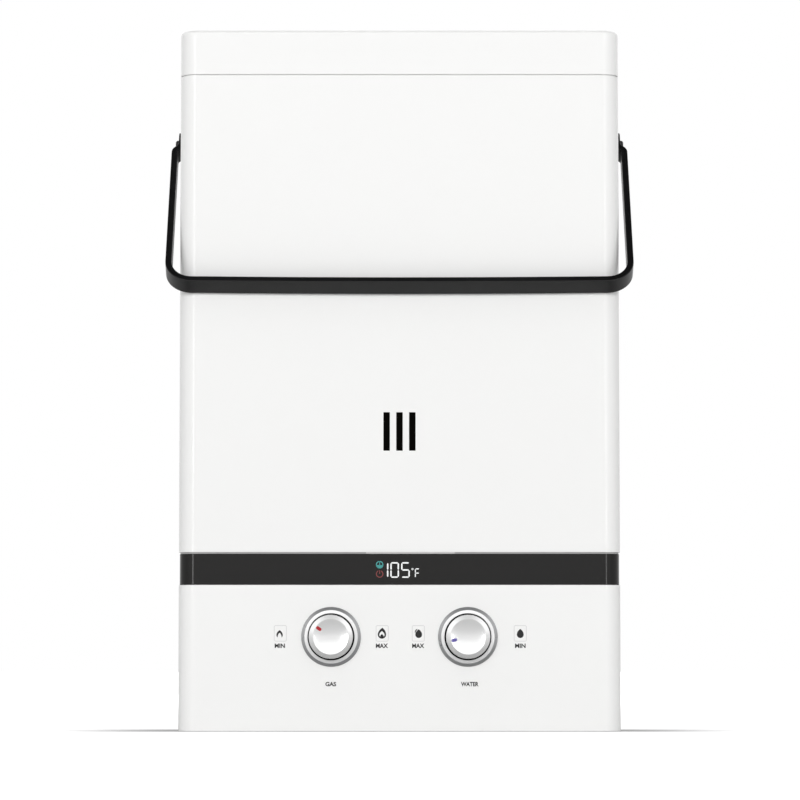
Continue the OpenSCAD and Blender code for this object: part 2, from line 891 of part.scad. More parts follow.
module strap() {
    right = half_rings();
    count = len(right);
    n = len(strap_section);
    points = [
        for (i = [0:2 * count - 2])
            each ring_points(right[i < count ? i : 2 * count - 2 - i], i < count ? 1 : -1)
    ];
    rings = 2 * count - 1;
    polyhedron(points, concat(
        [[for (k = [0:n - 1]) k]],
        [for (i = [0:rings - 2], k = [0:n - 1])
            each [
                [i * n + k, (i + 1) * n + k, (i + 1) * n + (k + 1) % n],
                [i * n + k, (i + 1) * n + (k + 1) % n, i * n + (k + 1) % n]
            ]],
        [[for (k = [n - 1:-1:0]) (rings - 1) * n + k]]
    ));
}

module carry_handle() {
    color(DARK) case_frame() handle_frame() difference() {
        strap();
        for (s = [-1, 1]) translate([s * eye_x, 0, 0]) facing_side(1)
            cylinder(r = shoulder_r + running, h = strap_t + 2 * over, center = true);
    }
}

module at_pivots() {
    case_frame() for (s = [-1, 1]) translate([s * side_x, 0, pivot_z]) facing_side(s) children();
}

module pivot_screws() {
    seat = eye_gap + strap_t + running;
    inner = sheet_t + pivot_plate_t + pivot_tip;
    color(DARK) at_pivots() {
        translate([0, 0, seat]) pan_screw(pivot_head_r, pivot_head_h, shoulder_r, seat);
        translate([0, 0, -inner]) cylinder(r = pivot_thread_r, h = inner + over);
    }
}

module pivot_washers() {
    color(DARK) at_pivots() linear_extrude(washer_t)
        ring(strap_w / 2, strap_w / 2 - shoulder_r - loose);
}

module pivot_nut_plates() {
    color(STEEL) at_pivots() translate([0, 0, -sheet_t - pivot_plate_t])
        linear_extrude(pivot_plate_t) difference() {
            round_rect(pivot_plate_w, pivot_plate_w, 3);
            circle(pivot_thread_r + running);
        }
}

// ---------------------------------------------------------------- knobs and valves

// Knob along +Z from the panel's face at z = 0
module knob() {
    low = 0.6;
    rim = 0.2;
    wall = 1.8;
    roof = 2.2;
    grip = 0.03;
    hub_r = spindle_r + 2.5;
    hollow = knob_out - dish_depth - roof;
    sphere_r = (dish_r * dish_r + dish_depth * dish_depth) / (2 * dish_depth);
    color(WHITE) rotate_extrude() difference() {
        polygon([
            [0, low], [knob_r, low], [knob_r, knob_out - knob_slope_h],
            [dish_r + rim, knob_out], [0, knob_out]
        ]);
        translate([0, knob_out - dish_depth + sphere_r]) circle(sphere_r, $fn = 256);
        translate([hub_r, 0]) square([knob_r - wall - hub_r, hollow]);
        translate([-over, 0]) square([over + spindle_r + grip, spindle_out]);
    }
}

module gas_knob() {
    case_frame() at_knob(-1) knob();
}

module water_knob() {
    case_frame() at_knob(1) knob();
}

module bezel() {
    r0 = knob_r + knob_gap;
    color(STEEL) rotate_extrude() {
        polygon([
            [r0, -bezel_depth], [bezel_neck_r, -bezel_depth], [bezel_neck_r, 0], [bezel_r, 0],
            [bezel_r, bezel_out * 0.35], [bezel_r - bezel_w * 0.45, bezel_out],
            [r0 + 0.3, bezel_out * 0.8], [r0, bezel_out * 0.6]
        ]);
        translate([spindle_r + 1, -bezel_depth]) square([bezel_neck_r - spindle_r - 1, 1.5]);
    }
}

module gas_bezel() {
    case_frame() at_knob(-1) bezel();
}

module water_bezel() {
    case_frame() at_knob(1) bezel();
}

// Spindle and plug of a valve, along +Z from the panel's face at z = 0
module spindle() {
    color(BRASS) {
        translate([0, 0, -(plug_front - front_y)])
            cylinder(r = spindle_r, h = spindle_out + plug_front - front_y);
        difference() {
            translate([0, 0, -(plug_back - front_y)]) cylinder(r = plug_r, h = plug_len);
            translate([0, 0, -(plug_back - front_y) + plug_len / 4]) facing_side(1)
                cylinder(r = plug_bore_r, h = 3 * plug_r, center = true);
        }
    }
}

module gas_spindle() {
    case_frame() at_knob(-1) spindle();
}

module water_spindle() {
    case_frame() at_knob(1) spindle();
}

// Valve block behind a knob, with the plug's chamber and the ports at its back and top
module valve_block(s, port_x, port_y, port_r) {
    difference() {
        translate([s * knob_x - valve_w / 2, valve_front, valve_low])
            cube([valve_w, valve_back - valve_front, valve_top - valve_low]);
        translate([s * knob_x, valve_front - over, knob_z]) facing_back()
            cylinder(r = spindle_r + running, h = valve_wall + 2 * over);
        translate([s * knob_x, valve_front + valve_wall, knob_z]) facing_back()
            cylinder(r = plug_r + running, h = plug_back - valve_front - valve_wall + 2);
        translate([s * knob_x, valve_back + over, fitting_z]) facing_front()
            cylinder(r = port_r, h = rear_port_l + over);
        translate([port_x, port_y, valve_top - top_port_l])
            cylinder(r = port_r, h = top_port_l + over);
    }
}

module gas_valve_body() {
    well = 6;
    color(STEEL) case_frame() difference() {
        valve_block(-1, feed_x, feed_y, pipe_r - pipe_t);
        translate([solenoid_x, solenoid_y, valve_top - well])
            cylinder(r = plunger_r + 5 * loose, h = well + over);
    }
}

module gas_solenoid() {
    color(DARK) case_frame() translate([solenoid_x, solenoid_y, valve_top]) difference() {
        union() {
            cylinder(r = solenoid_r, h = solenoid_h);
            translate([0, 0, solenoid_h / 2]) difference() {
                cube([2 * (solenoid_r + yoke_t), yoke_w, solenoid_h], center = true);
                cube([2 * (solenoid_r - over), yoke_w + over, solenoid_h - 2 * yoke_t],
                    center = true);
            }
        }
        translate([0, 0, -over]) cylinder(r = plunger_r + running, h = solenoid_h - 2);
    }
}

module solenoid_plunger() {
    seat_depth = 2;
    color(STEEL) case_frame() translate([solenoid_x, solenoid_y, valve_top - seat_depth])
        cylinder(r = plunger_r, h = solenoid_h - 3 - 2 * plunger_travel);
}

module water_valve_body() {
    color(BRASS) case_frame() difference() {
        union() {
            valve_block(1, rise_x, rise_y, pipe_r - pipe_t);
            translate([valve_side - disc_t, rod_y, rod_z]) facing_side(1)
                cylinder(r = disc_r, h = disc_t);
            translate([valve_side - disc_t - boss_out, rod_y, rod_z]) facing_side(1)
                cylinder(r = boss_r, h = boss_out + over);
        }
        translate([valve_side - disc_t - boss_out - over, rod_y, rod_z]) facing_side(1)
            cylinder(r = rod_r + running, h = disc_t + boss_out + 2 * over);
        translate([knob_x, rod_y, valve_low - over])
            cylinder(r = drain_neck_r, h = drain_bore_l + over);
    }
}

module push_rod() {
    color(STEEL) case_frame() translate([rod_tip, rod_y, rod_z]) facing_side(1)
        cylinder(r = rod_r, h = disc_t + 4);
}

module flow_microswitch() {
    hole_in = 4;
    ear_tip = 2;
    button_r = 1.2;
    button_out = 1.5;
    color(DARK) case_frame() {
        difference() {
            translate([switch_right - switch_depth, switch_front, switch_low])
                cube([switch_depth, switch_len, switch_t]);
            for (y = [switch_front + hole_in, switch_front + switch_len - hole_in])
                translate([switch_right - switch_depth + hole_in, y, switch_low - over])
                    cylinder(r = switch_hole_r, h = switch_t + 2 * over);
        }
        for (s = [0, 1])
            translate([switch_right - over, lever_pivot[1] - ear_w / 2,
                switch_low + s * (switch_t - ear_t)]) difference() {
                    cube([lever_pivot[0] - switch_right + ear_tip + over, ear_w, ear_t]);
                    translate([lever_pivot[0] - switch_right + over, ear_w / 2, -over])
                        cylinder(r = lever_pin_r + running, h = ear_t + 2 * over);
                }
        translate([switch_right - over, rod_y + 2, rod_z]) facing_side(1)
            cylinder(r = button_r, h = button_out + over);
    }
}

module microswitch_lever() {
    reach = norm([roller_x - lever_pivot[0], rod_y - lever_pivot[1]]);
    lean = atan2(roller_x - lever_pivot[0], rod_y - lever_pivot[1]);
    color(STEEL) case_frame() {
        translate([lever_pivot[0], lever_pivot[1], switch_low])
            cylinder(r = lever_pin_r, h = switch_t);
        translate([lever_pivot[0], lever_pivot[1], rod_z]) rotate([0, 0, -lean])
            translate([-lever_t / 2, 0, -lever_w / 2]) cube([lever_t, reach, lever_w]);
        translate([roller_x, rod_y, rod_z]) cylinder(r = roller_r, h = lever_w, center = true);
    }
}

module drain_plug() {
    head_top = floor_z + over + drain_head_h;
    color(BRASS) case_frame() translate([knob_x, rod_y, 0]) {
        translate([0, 0, floor_z + over]) cylinder(r = drain_r, h = drain_head_h);
        translate([0, 0, head_top])
            cylinder(r = drain_neck_r - running, h = valve_low + drain_bore_l - 2 - head_top);
    }
}

module valve_bracket() {
    half = knob_x + valve_w / 2;
    color(STEEL) case_frame() difference() {
        union() {
            translate([-half, valve_front, valve_low - sheet_t])
                cube([2 * half, valve_back - valve_front, sheet_t]);
            for (s = [-1, 1]) translate([s * (half - sheet_t / 2), (valve_front + valve_back) / 2,
                (inner_floor + valve_low) / 2])
                cube([sheet_t, valve_back - valve_front, valve_low - inner_floor], center = true);
            translate([switch_right - switch_depth, switch_front, valve_low - sheet_t])
                cube([sheet_t, switch_len, switch_low - valve_low + sheet_t]);
            translate([switch_right - switch_depth, switch_front, switch_low - sheet_t])
                cube([switch_depth, switch_len, sheet_t]);
        }
        translate([knob_x, rod_y, valve_low - 2 * sheet_t])
            cylinder(r = drain_neck_r + over, h = 4 * sheet_t);
    }
}

// ---------------------------------------------------------------- display

module display_module() {
    color(DARK) case_frame() translate([-lens_w / 2, display_y, display_z - lens_h / 2])
        cube([lens_w, lens_t, lens_h]);
}

// The board stands on two posts behind the band
module display_board() {
    color([0.1, 0.35, 0.2]) case_frame() translate([0, display_y + lens_t, display_z])
        difference() {
            translate([-board_w / 2, 0, -board_h / 2]) cube([board_w, board_t, board_h]);
            for (s = [-1, 1]) translate([s * post_x, board_t / 2, 0]) facing_back()
                cylinder(r = post_r + loose, h = board_t + over, center = true);
        }
    color(DARK) case_frame() for (s = [-1, 1]) translate([s * post_x, display_y, display_z])
        facing_back() cylinder(r = post_r, h = lens_t + board_t + 1.4);
}

// ---------------------------------------------------------------- hose connections

module connection_panel() {
    w = bay_right - bay_left;
    rim = 2 * bay_screw;
    color(STEEL) case_frame() difference() {
        union() {
            translate([(bay_left + bay_right) / 2, 0, bay_low + bay_h / 2]) {
                upright(wall_back, bay_depth) difference() {
                    square([w + 2 * sheet_t, bay_h + 2 * sheet_t], center = true);
                    square([w, bay_h], center = true);
                }
                upright(bay_face, sheet_t)
                    square([w + 2 * sheet_t, bay_h + 2 * sheet_t], center = true);
                upright(wall_back, sheet_t) difference() {
                    square([w + 2 * rim, bay_h + 2 * sheet_t], center = true);
                    square([w, bay_h], center = true);
                }
            }
        }
        for (x = [cold_x, hot_x, gas_x])
            translate([x, bay_back + sheet_t / 2, fitting_z]) facing_back()
                cylinder(r = fitting_shank_r + loose, h = 3 * sheet_t, center = true);
        screw_holes(wall_back, sheet_t);
    }
}

// A hose fitting along +Z through the panel at z = 0, with its hexagon and outer thread
module hose_fitting(thread_r, hex_r, bore_r) {
    shank = bay_face - fitting_in;
    difference() {
        union() {
            translate([0, 0, -shank]) cylinder(r = fitting_shank_r, h = shank);
            cylinder(r = hex_r, h = hex_h, $fn = 6);
            cylinder(r = thread_r, h = hex_h + thread_len - fitting_lead);
            translate([0, 0, hex_h + thread_len - fitting_lead])
                cylinder(r1 = thread_r, r2 = thread_r - fitting_lead, h = fitting_lead);
        }
        translate([0, 0, -shank - over])
            cylinder(r = pipe_r - pipe_t, h = shank + filter_seat + 2 * over);
        translate([0, 0, filter_seat]) cylinder(r = bore_r, h = hex_h + thread_len);
    }
}

module at_bay(x) {
    case_frame() translate([x, bay_face, fitting_z]) facing_back() children();
}

module water_fittings() {
    color(BRASS) for (x = [cold_x, hot_x]) at_bay(x)
        hose_fitting(water_thread_r, water_hex_r, fitting_bore_r);
}

module gas_inlet_fitting() {
    color(BRASS) at_bay(gas_x) hose_fitting(gas_thread_r, gas_hex_r, pipe_r - pipe_t);
}

module fitting_nuts() {
    color(STEEL) for (x = [cold_x, hot_x, gas_x]) at_bay(x) translate([0, 0, -sheet_t - nut_h])
        difference() {
            cylinder(r = nut_r, h = nut_h, $fn = 6);
            translate([0, 0, -over]) cylinder(r = fitting_shank_r + running, h = nut_h + 2 * over);
        }
}

module inlet_filter() {
    mesh_t = 1.2;
    color(STEEL) at_bay(cold_x) translate([0, 0, filter_seat]) difference() {
        cylinder(r = fitting_bore_r - running, h = filter_l);
        translate([0, 0, mesh_t]) cylinder(r = fitting_bore_r - mesh_t, h = filter_l);
    }
}

// ---------------------------------------------------------------- pipes

module gas_pipes() {
    color(COPPER) case_frame() {
        pipe_run([[gas_x, fitting_in, fitting_z], [gas_x, valve_back, fitting_z]],
            pipe_r, pipe_t, pipe_bend);
        pipe_run([
            [feed_x, feed_y, valve_top],
            [feed_x, feed_y, feed_turn_z],
            [feed_x, manifold_y, feed_turn_z],
            [feed_x, manifold_y, manifold_z - manifold_r]
        ], pipe_r, pipe_t, pipe_bend);
    }
}

module cold_pipes() {
    color(COPPER) case_frame() {
        pipe_run([
            [cold_x, fitting_in, fitting_z],
            [cold_x, cold_turn_y, fitting_z],
            [knob_x, cold_turn_y, fitting_z],
            [knob_x, valve_back, fitting_z]
        ], pipe_r, pipe_t, pipe_bend);
        pipe_run([
            [rise_x, rise_y, valve_top],
            [rise_x, rise_y, cold_turn_z],
            [coil_x, rise_y, cold_turn_z],
            [coil_x, riser_y, cold_turn_z],
            [coil_x, riser_y, coil_start]
        ], pipe_r, pipe_t, pipe_bend);
    }
}

module chamber_pipe() {
    color(COPPER) case_frame() pipe_run([
        [coil_x, riser_y, coil_start],
        [coil_x, riser_y, coil_low],
        [coil_x, coil_rear, coil_low],
        [-coil_x, coil_rear, coil_low],
        [-coil_x, coil_front, coil_low],
        [coil_x, coil_front, coil_low],
        [coil_x, coil_step_y, coil_low],
        [coil_x, coil_step_y, coil_high],
        [coil_x, coil_rear, coil_high],
        [-coil_x, coil_rear, coil_high],
        [-coil_x, tube_y0, coil_high],
        [-coil_x, tube_y0, tube_z],
        [-tube_end, tube_y0, tube_z]
    ], pipe_r, pipe_t, pipe_bend);
}

module hot_pipe() {
    color(COPPER) case_frame() pipe_run([
        [tube_end, hot_fall_y, tube_z],
        [hot_fall_x, hot_fall_y, tube_z],
        [hot_fall_x, hot_fall_y, hot_turn_z],
        [hot_x, hot_fall_y, hot_turn_z],
        [hot_x, hot_down_y, hot_turn_z],
        [hot_x, hot_down_y, fitting_z],
        [hot_x, fitting_in, fitting_z]
    ], pipe_r, pipe_t, pipe_bend);
}

// ---------------------------------------------------------------- burner

function bar_x(i) = (i - (bar_count - 1) / 2) * bar_pitch;

module burner_manifold() {
    length = chamber_w - 8;
    color(STEEL) case_frame() difference() {
        translate([0, manifold_y, manifold_z]) facing_side(1)
            cylinder(r = manifold_r, h = length, center = true);
        translate([0, manifold_y, manifold_z]) facing_side(1)
            cylinder(r = manifold_r - manifold_t, h = length - 3 * manifold_t, center = true);
        for (i = [0:bar_count - 1]) translate([bar_x(i), manifold_y, manifold_z]) facing_back()
            cylinder(r = nozzle_shank_r + running, h = manifold_r + over);
    }
}

module burner_nozzles() {
    reach = chamber_front - manifold_y - manifold_r - 3;
    shank = 3;
    color(BRASS) case_frame() for (i = [0:bar_count - 1])
        translate([bar_x(i), manifold_y, manifold_z]) facing_back() difference() {
            union() {
                translate([0, 0, manifold_r - shank / 2])
                    cylinder(r = nozzle_shank_r, h = shank);
                translate([0, 0, manifold_r + loose]) cylinder(r = nozzle_r, h = reach, $fn = 6);
            }
            cylinder(r = jet_r, h = 3 * manifold_r);
        }
}

module burner_tray() {
    mouth_h = 11;
    air_slot_l = chamber_d - 33.6;
    air_slot_w = 4;
    color(STEEL) case_frame() translate([0, chamber_back, tray_low]) difference() {
        union() {
            box_tube(chamber_w, chamber_d, chamber_low - tray_low, sheet_t);
            linear_extrude(sheet_t) square([chamber_w, chamber_d], center = true);
        }
        translate([0, -chamber_d / 2, manifold_z - tray_low])
            cube([chamber_w - 12, 4 * sheet_t, mouth_h], center = true);
        for (i = [0:bar_count - 2])
            translate([bar_x(i) + bar_pitch / 2, 0, 0]) linear_extrude(3 * sheet_t, center = true)
                rotate(90) slot_2d(air_slot_l, air_slot_w);
    }
}

// Each bar has a stepped top with flame ports across it, and a throat for its nozzle
module burner_bars() {
    depth = chamber_d - 2 * sheet_t - 6;
    top_w = bar_t * 0.7;
    step_h = 3;
    ports = 15;
    port_w = 2;
    port_h = 2.5;
    color(STEEL) case_frame() for (i = [0:bar_count - 1])
        translate([bar_x(i), chamber_back, bar_low]) difference() {
            union() {
                translate([-bar_t / 2, -depth / 2, 0]) cube([bar_t, depth, bar_h - step_h]);
                translate([-top_w / 2, -depth / 2, 0]) cube([top_w, depth, bar_h]);
            }
            translate([0, -depth / 2 - over, manifold_z - bar_low]) facing_back()
                cylinder(r = top_w / 2, h = depth * 0.6);
            for (k = [0:ports - 1])
                translate([0, (k - (ports - 1) / 2) * depth / (ports + 1), bar_h])
                    cube([bar_t, port_w, 2 * port_h], center = true);
        }
}

// ---------------------------------------------------------------- heat exchanger

module combustion_chamber() {
    color(COPPER) case_frame() difference() {
        translate([0, chamber_back, chamber_low]) union() {
            box_tube(chamber_w, chamber_d, chamber_h, chamber_t);
            translate([0, 0, chamber_h - chamber_t])
                box_tube(chamber_w, chamber_d, chamber_t, (chamber_w - block_w) / 2 + 2);
        }
        translate([0, chamber_front, slot_low + slot_h / 2])
            cube([sight_w, 4 * chamber_t, slot_h + 2 * mica_rim], center = true);
        for (x = electrode_places) translate([x, chamber_front, electrode_z]) facing_back()
            cylinder(r = insulator_r + loose, h = 4 * chamber_t, center = true);
    }
}

module chamber_brackets() {
    h = 40;
    rise = 8;
    depth = wall_back - chamber_rear;
    color(STEEL) case_frame() for (s = [-1, 1])
        translate([s * (chamber_w / 2 - 23.6), chamber_rear, chamber_low + rise]) {
            cube([sheet_t, depth, h]);
            cube([flange_w, sheet_t, h]);
            translate([0, depth - sheet_t, 0]) cube([flange_w, sheet_t, h]);
        }
}

module exchanger_casing() {
    color(COPPER) case_frame() difference() {
        translate([0, chamber_back, chamber_top])
            box_tube(block_w, chamber_d, fin_h, chamber_t);
        for (j = [0:tube_count - 1])
            translate([0, tube_y0 + j * tube_pitch, tube_z]) facing_side(1)
                cylinder(r = tube_r + loose, h = block_w + over, center = true);
    }
}

module fin_pack() {
    room = block_w - 2 * chamber_t - 6;
    pitch = room / (fin_count - 1);
    color(COPPER) case_frame() for (i = [0:fin_count - 1])
        translate([-room / 2 + i * pitch - fin_t / 2, 0, 0]) rotate([90, 0, 90])
            linear_extrude(fin_t) difference() {
                translate([chamber_back, chamber_top + fin_h / 2])
                    square([chamber_d - 2 * chamber_t - 2 * plate_gap, fin_h - 6], center = true);
                for (j = [0:tube_count - 1])
                    translate([tube_y0 + j * tube_pitch, tube_z]) circle(tube_r + running);
            }
}

module exchanger_tubes() {
    color(COPPER) case_frame() {
        for (j = [0:tube_count - 1])
            translate([0, tube_y0 + j * tube_pitch, tube_z]) facing_side(1)
                translate([0, 0, -tube_end]) linear_extrude(2 * tube_end) ring(tube_r, pipe_t);
        for (j = [0:tube_count - 2])
            translate([(j % 2 == 0 ? 1 : -1) * tube_end, tube_y0 + (j + 0.5) * tube_pitch, tube_z])
                rotate([0, 0, j % 2 == 0 ? -90 : 90]) rotate_extrude(angle = 180)
                    translate([tube_pitch / 2, 0]) ring(tube_r, pipe_t);
    }
}

module flue_hood() {
    throat_w = exhaust_w - 8;
    throat_d = exhaust_d - 4;
    throat_top = cap_inside - sheet_t - plate_gap;
    color(STEEL) case_frame() translate([0, chamber_back, 0]) {
        translate([0, 0, fin_top])
            box_tube(block_w, chamber_d, hood_top - fin_top, chamber_t);
        translate([0, 0, hood_top - chamber_t]) linear_extrude(chamber_t) difference() {
            square([block_w, chamber_d], center = true);
            square([throat_w - 2 * chamber_t, throat_d - 2 * chamber_t], center = true);
        }
        translate([0, 0, hood_top - chamber_t])
            box_tube(throat_w, throat_d, throat_top - hood_top + chamber_t, chamber_t);
    }
}

module overheat_sensor() {
    can_r = 8;
    can_h = 6;
    color(DARK) case_frame() translate([block_w / 2, chamber_back, (fin_top + hood_top) / 2])
        facing_side(1) {
            cylinder(r = can_r, h = can_h);
            translate([0, 0, can_h / 2]) linear_extrude(1) square([3 * can_r, can_r], center = true);
        }
}

// ---------------------------------------------------------------- ignition and power

module electrodes() {
    color(WHITE) case_frame() for (x = electrode_places)
        translate([x, chamber_front, electrode_z]) facing_back() {
            translate([0, 0, -insulator_out]) cylinder(r = insulator_r, h = insulator_l);
            translate([0, 0, -wire_out]) cylinder(r = wire_r, h = wire_l);
        }
}

module igniter_box() {
    size = igniter_size;
    recess = 0.8;
    color(DARK) case_frame()
        translate([igniter_x, wall_back - size[1] / 2, igniter_z + size[2] / 2]) difference() {
            cube(size, center = true);
            translate([0, -size[1] / 2, 0])
                cube([size[0] - 2 * igniter_rim, 2 * recess, size[2] - 2 * igniter_rim],
                    center = true);
        }
}

module ignition_lead() {
    back = wall_back - igniter_size[1] / 2;
    top = igniter_z + igniter_size[2];
    color(DARK) case_frame() pipe_run([
        [igniter_x, back, top],
        [igniter_x, back, top + lead_rise],
        [lead_side_x, back, top + lead_rise],
        [lead_side_x, lead_y, top + lead_rise],
        [lead_side_x, lead_y, lead_z],
        [electrode_places[0], lead_y, lead_z],
        [electrode_places[0], lead_y, electrode_z],
        [electrode_places[0], chamber_front - wire_out, electrode_z]
    ], lead_r, lead_r - lead_bore_r, lead_bend);
}

module battery_box() {
    w = 2 * (box_half + box_t);
    tab_h = 8;
    color(DARK) case_frame() difference() {
        union() {
            translate([battery_x - w / 2, box_front - box_t, battery_low - box_t])
                cube([w, wall_back - box_front + box_t, box_top - battery_low + 2 * box_t]);
            translate([battery_x - w / 2, wall_back - box_t, battery_low - box_t])
                cube([w, box_t, box_top - battery_low + 2 * box_t + tab_h]);
            for (s = [-1, 1])
                translate([battery_x + s * (box_half + box_t / 2), wall_back, door_axis_z])
                    cube([box_t, 2 * sheet_t - loose, door_t], center = true);
        }
        translate([battery_x - box_half, box_front, battery_low])
            cube([2 * box_half, wall_back - box_front + over, box_top - battery_low]);
        translate([battery_x - w / 2 - over, door_axis_y, door_axis_z]) rotate([0, 90, 0])
            cylinder(r = door_pin_r + running, h = w + 2 * over);
        screw_holes(wall_back, box_t);
    }
}

module battery_cells() {
    cap_r = 5;
    cap_out = 1.5;
    color([0.25, 0.27, 0.3]) case_frame() for (s = [-1, 1])
        translate([battery_x + s * cell_room, cells_front, cell_z]) facing_back() {
            cylinder(r = cell_r, h = cell_len - cap_out);
            cylinder(r = cap_r, h = cell_len);
        }
}

module battery_contacts() {
    color(STEEL) case_frame() for (s = [-1, 1])
        translate([battery_x + s * cell_room, box_front + contact_t, cell_z])
            facing_front() linear_extrude(contact_t) round_rect(contact_w, contact_w, 2);
}

module battery_door() {
    nail_w = 22;
    nail_h = 3;
    nail_depth = 1;
    w = 2 * box_half - 2 * plate_gap;
    color(WHITE) case_frame() difference() {
        union() {
            translate([battery_x - w / 2, back_y - door_t, door_axis_z])
                cube([w, door_t, door_high - door_axis_z]);
            translate([battery_x - w / 2, door_axis_y, door_axis_z]) rotate([0, 90, 0])
                cylinder(r = door_t / 2, h = w);
            translate([battery_x - box_half - box_t, door_axis_y, door_axis_z]) rotate([0, 90, 0])
                cylinder(r = door_pin_r, h = 2 * (box_half + box_t));
        }
        translate([battery_x, back_y, door_high - 2 * nail_h])
            cube([nail_w, 2 * nail_depth, nail_h], center = true);
    }
}

// ---------------------------------------------------------------- assembly

front_shell();
top_cap();
exhaust_grille();
display_band();
trim_strip();
lower_shell();
back_panel();
connection_panel();
cap_brackets();
rubber_feet();
case_screws();
sight_window();
carry_handle();
pivot_screws();
pivot_washers();
pivot_nut_plates();
gas_knob();
water_knob();
gas_bezel();
water_bezel();
gas_spindle();
water_spindle();
display_module();
display_board();
water_fittings();
gas_inlet_fitting();
fitting_nuts();
inlet_filter();
gas_pipes();
gas_valve_body();
gas_solenoid();
solenoid_plunger();
burner_manifold();
burner_nozzles();
burner_tray();
burner_bars();
combustion_chamber();
chamber_brackets();
chamber_pipe();
exchanger_casing();
fin_pack();
exchanger_tubes();
flue_hood();
overheat_sensor();
water_valve_body();
push_rod();
flow_microswitch();
microswitch_lever();
drain_plug();
cold_pipes();
hot_pipe();
valve_bracket();
electrodes();
igniter_box();
ignition_lead();
battery_box();
battery_cells();
battery_door();
battery_contacts();
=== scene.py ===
"""Looks of a portable propane water heater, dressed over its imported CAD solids.

Every length is in metres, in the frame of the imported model: +Z is up and the control panel
faces -Y. Sizes that the solids already have are read from the frame's boxes, and the classes
hold the sizes that only the looks need.
"""

import json
import logging
import math
from dataclasses import dataclass
from enum import Enum
from typing import Callable, Iterable, Sequence

import bpy
from mathutils import Matrix, Vector


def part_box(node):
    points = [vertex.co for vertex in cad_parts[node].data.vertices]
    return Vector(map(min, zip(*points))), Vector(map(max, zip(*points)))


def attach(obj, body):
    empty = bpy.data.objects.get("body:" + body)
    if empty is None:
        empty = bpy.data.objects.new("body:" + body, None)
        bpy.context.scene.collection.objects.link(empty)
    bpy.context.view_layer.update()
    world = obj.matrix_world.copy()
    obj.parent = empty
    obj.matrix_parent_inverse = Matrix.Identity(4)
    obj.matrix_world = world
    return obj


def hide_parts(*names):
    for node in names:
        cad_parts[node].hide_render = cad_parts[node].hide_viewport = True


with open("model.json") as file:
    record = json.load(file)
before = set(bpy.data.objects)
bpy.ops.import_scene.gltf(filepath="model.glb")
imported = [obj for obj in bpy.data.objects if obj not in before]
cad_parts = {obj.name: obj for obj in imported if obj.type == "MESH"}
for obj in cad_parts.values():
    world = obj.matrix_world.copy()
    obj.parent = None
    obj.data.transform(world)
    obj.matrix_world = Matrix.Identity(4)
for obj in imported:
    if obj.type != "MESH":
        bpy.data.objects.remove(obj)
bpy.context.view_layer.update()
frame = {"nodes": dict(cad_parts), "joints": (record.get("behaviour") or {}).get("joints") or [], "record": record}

LOG = logging.getLogger("heater")
MM = 0.001
OVER = 1 * MM
QUARTER_X, QUARTER_Y, QUARTER_Z = (Matrix.Rotation(math.pi / 2, 4, axis) for axis in "XYZ")
TO_REAR = Matrix.Rotation(math.pi, 4, "Z")
Colour = tuple[float, float, float]
Ring = tuple[float, float]
Piece = bpy.types.Object
Material = bpy.types.Material
Node = bpy.types.Node
Test = Callable[[Vector, Vector], bool]


class Body(Enum):
    """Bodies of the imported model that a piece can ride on."""

    CASING = "casing"
    HANDLE = "handle"
    GAS_CONTROL = "gas_control"
    WATER_CONTROL = "water_control"
    HATCH = "battery_hatch"


class Slot(Enum):
    """Material slots of the record that the pieces take their finish from."""

    SHEET = "white_sheet"
    PLASTIC = "white_plastic"
    GLOSSY = "dark_glossy"
    TRIM = "trim_grey"
    HANDLE = "handle_black"
    ZINC = "zinc"
    STAINLESS = "stainless"
    CHROME = "chrome_ring"
    ALUMINIUM = "aluminium"
    BRASS = "brass"
    COPPER = "copper"
    RUBBER = "rubber"
    BLACK = "black_plastic"
    BOARD = "board_green"
    MICA = "mica"
    CERAMIC = "ceramic"
    CELL = "cell_jacket"


# ---------------------------------------------------------------- modelling


def clear_selection() -> None:
    """Leaves edit mode and deselects every object."""
    if bpy.context.object and bpy.context.object.mode != "OBJECT":
        bpy.ops.object.mode_set(mode="OBJECT")
    bpy.ops.object.select_all(action="DESELECT")


def activate(piece: Piece) -> Piece:
    """Makes one object the only selected and the active one.

    Args:
        piece: The object to work on.

    Returns:
        The same object.
    """
    clear_selection()
    piece.select_set(True)
    bpy.context.view_layer.objects.active = piece
    return piece


def settle(piece: Piece) -> Piece:
    """Moves an object's place, turn and scale into its mesh.

    Args:
        piece: The object.

    Returns:
        The same object.
    """
    activate(piece)
    bpy.ops.object.transform_apply(location=True, rotation=True, scale=True)
    return piece


def block(name: str, low: Sequence[float], high: Sequence[float]) -> Piece:
    """Adds a cube between two corners.

    Args:
        name: Name of the new object.
        low: Lowest corner.
        high: Highest corner.

    Returns:
        The block, settled and active.
    """
    clear_selection()
    centre = (Vector(low) + Vector(high)) / 2
    bpy.ops.mesh.primitive_cube_add(size=1, location=centre)
    piece = bpy.context.object
    piece.name = name
    piece.scale = Vector(high) - Vector(low)
    return settle(piece)


def edit(piece: Piece, mode: str) -> None:
    """Enters edit mode on one object with nothing selected.

    Args:
        piece: The object to edit.
        mode: VERT, EDGE or FACE.
    """
    activate(piece)
    bpy.ops.object.mode_set(mode="EDIT")
    bpy.ops.mesh.select_mode(type=mode)
    bpy.ops.mesh.select_all(action="DESELECT")
    bpy.ops.object.mode_set(mode="OBJECT")


def edit_all(piece: Piece, mode: str) -> None:
    """Enters edit mode on one object with everything selected.

    Args:
        piece: The object to edit.
        mode: VERT, EDGE or FACE.
    """
    edit(piece, mode)
    bpy.ops.object.mode_set(mode="EDIT")
    bpy.ops.mesh.select_all(action="SELECT")


def leave_edit() -> None:
    """Goes back to object mode."""
    bpy.ops.object.mode_set(mode="OBJECT")


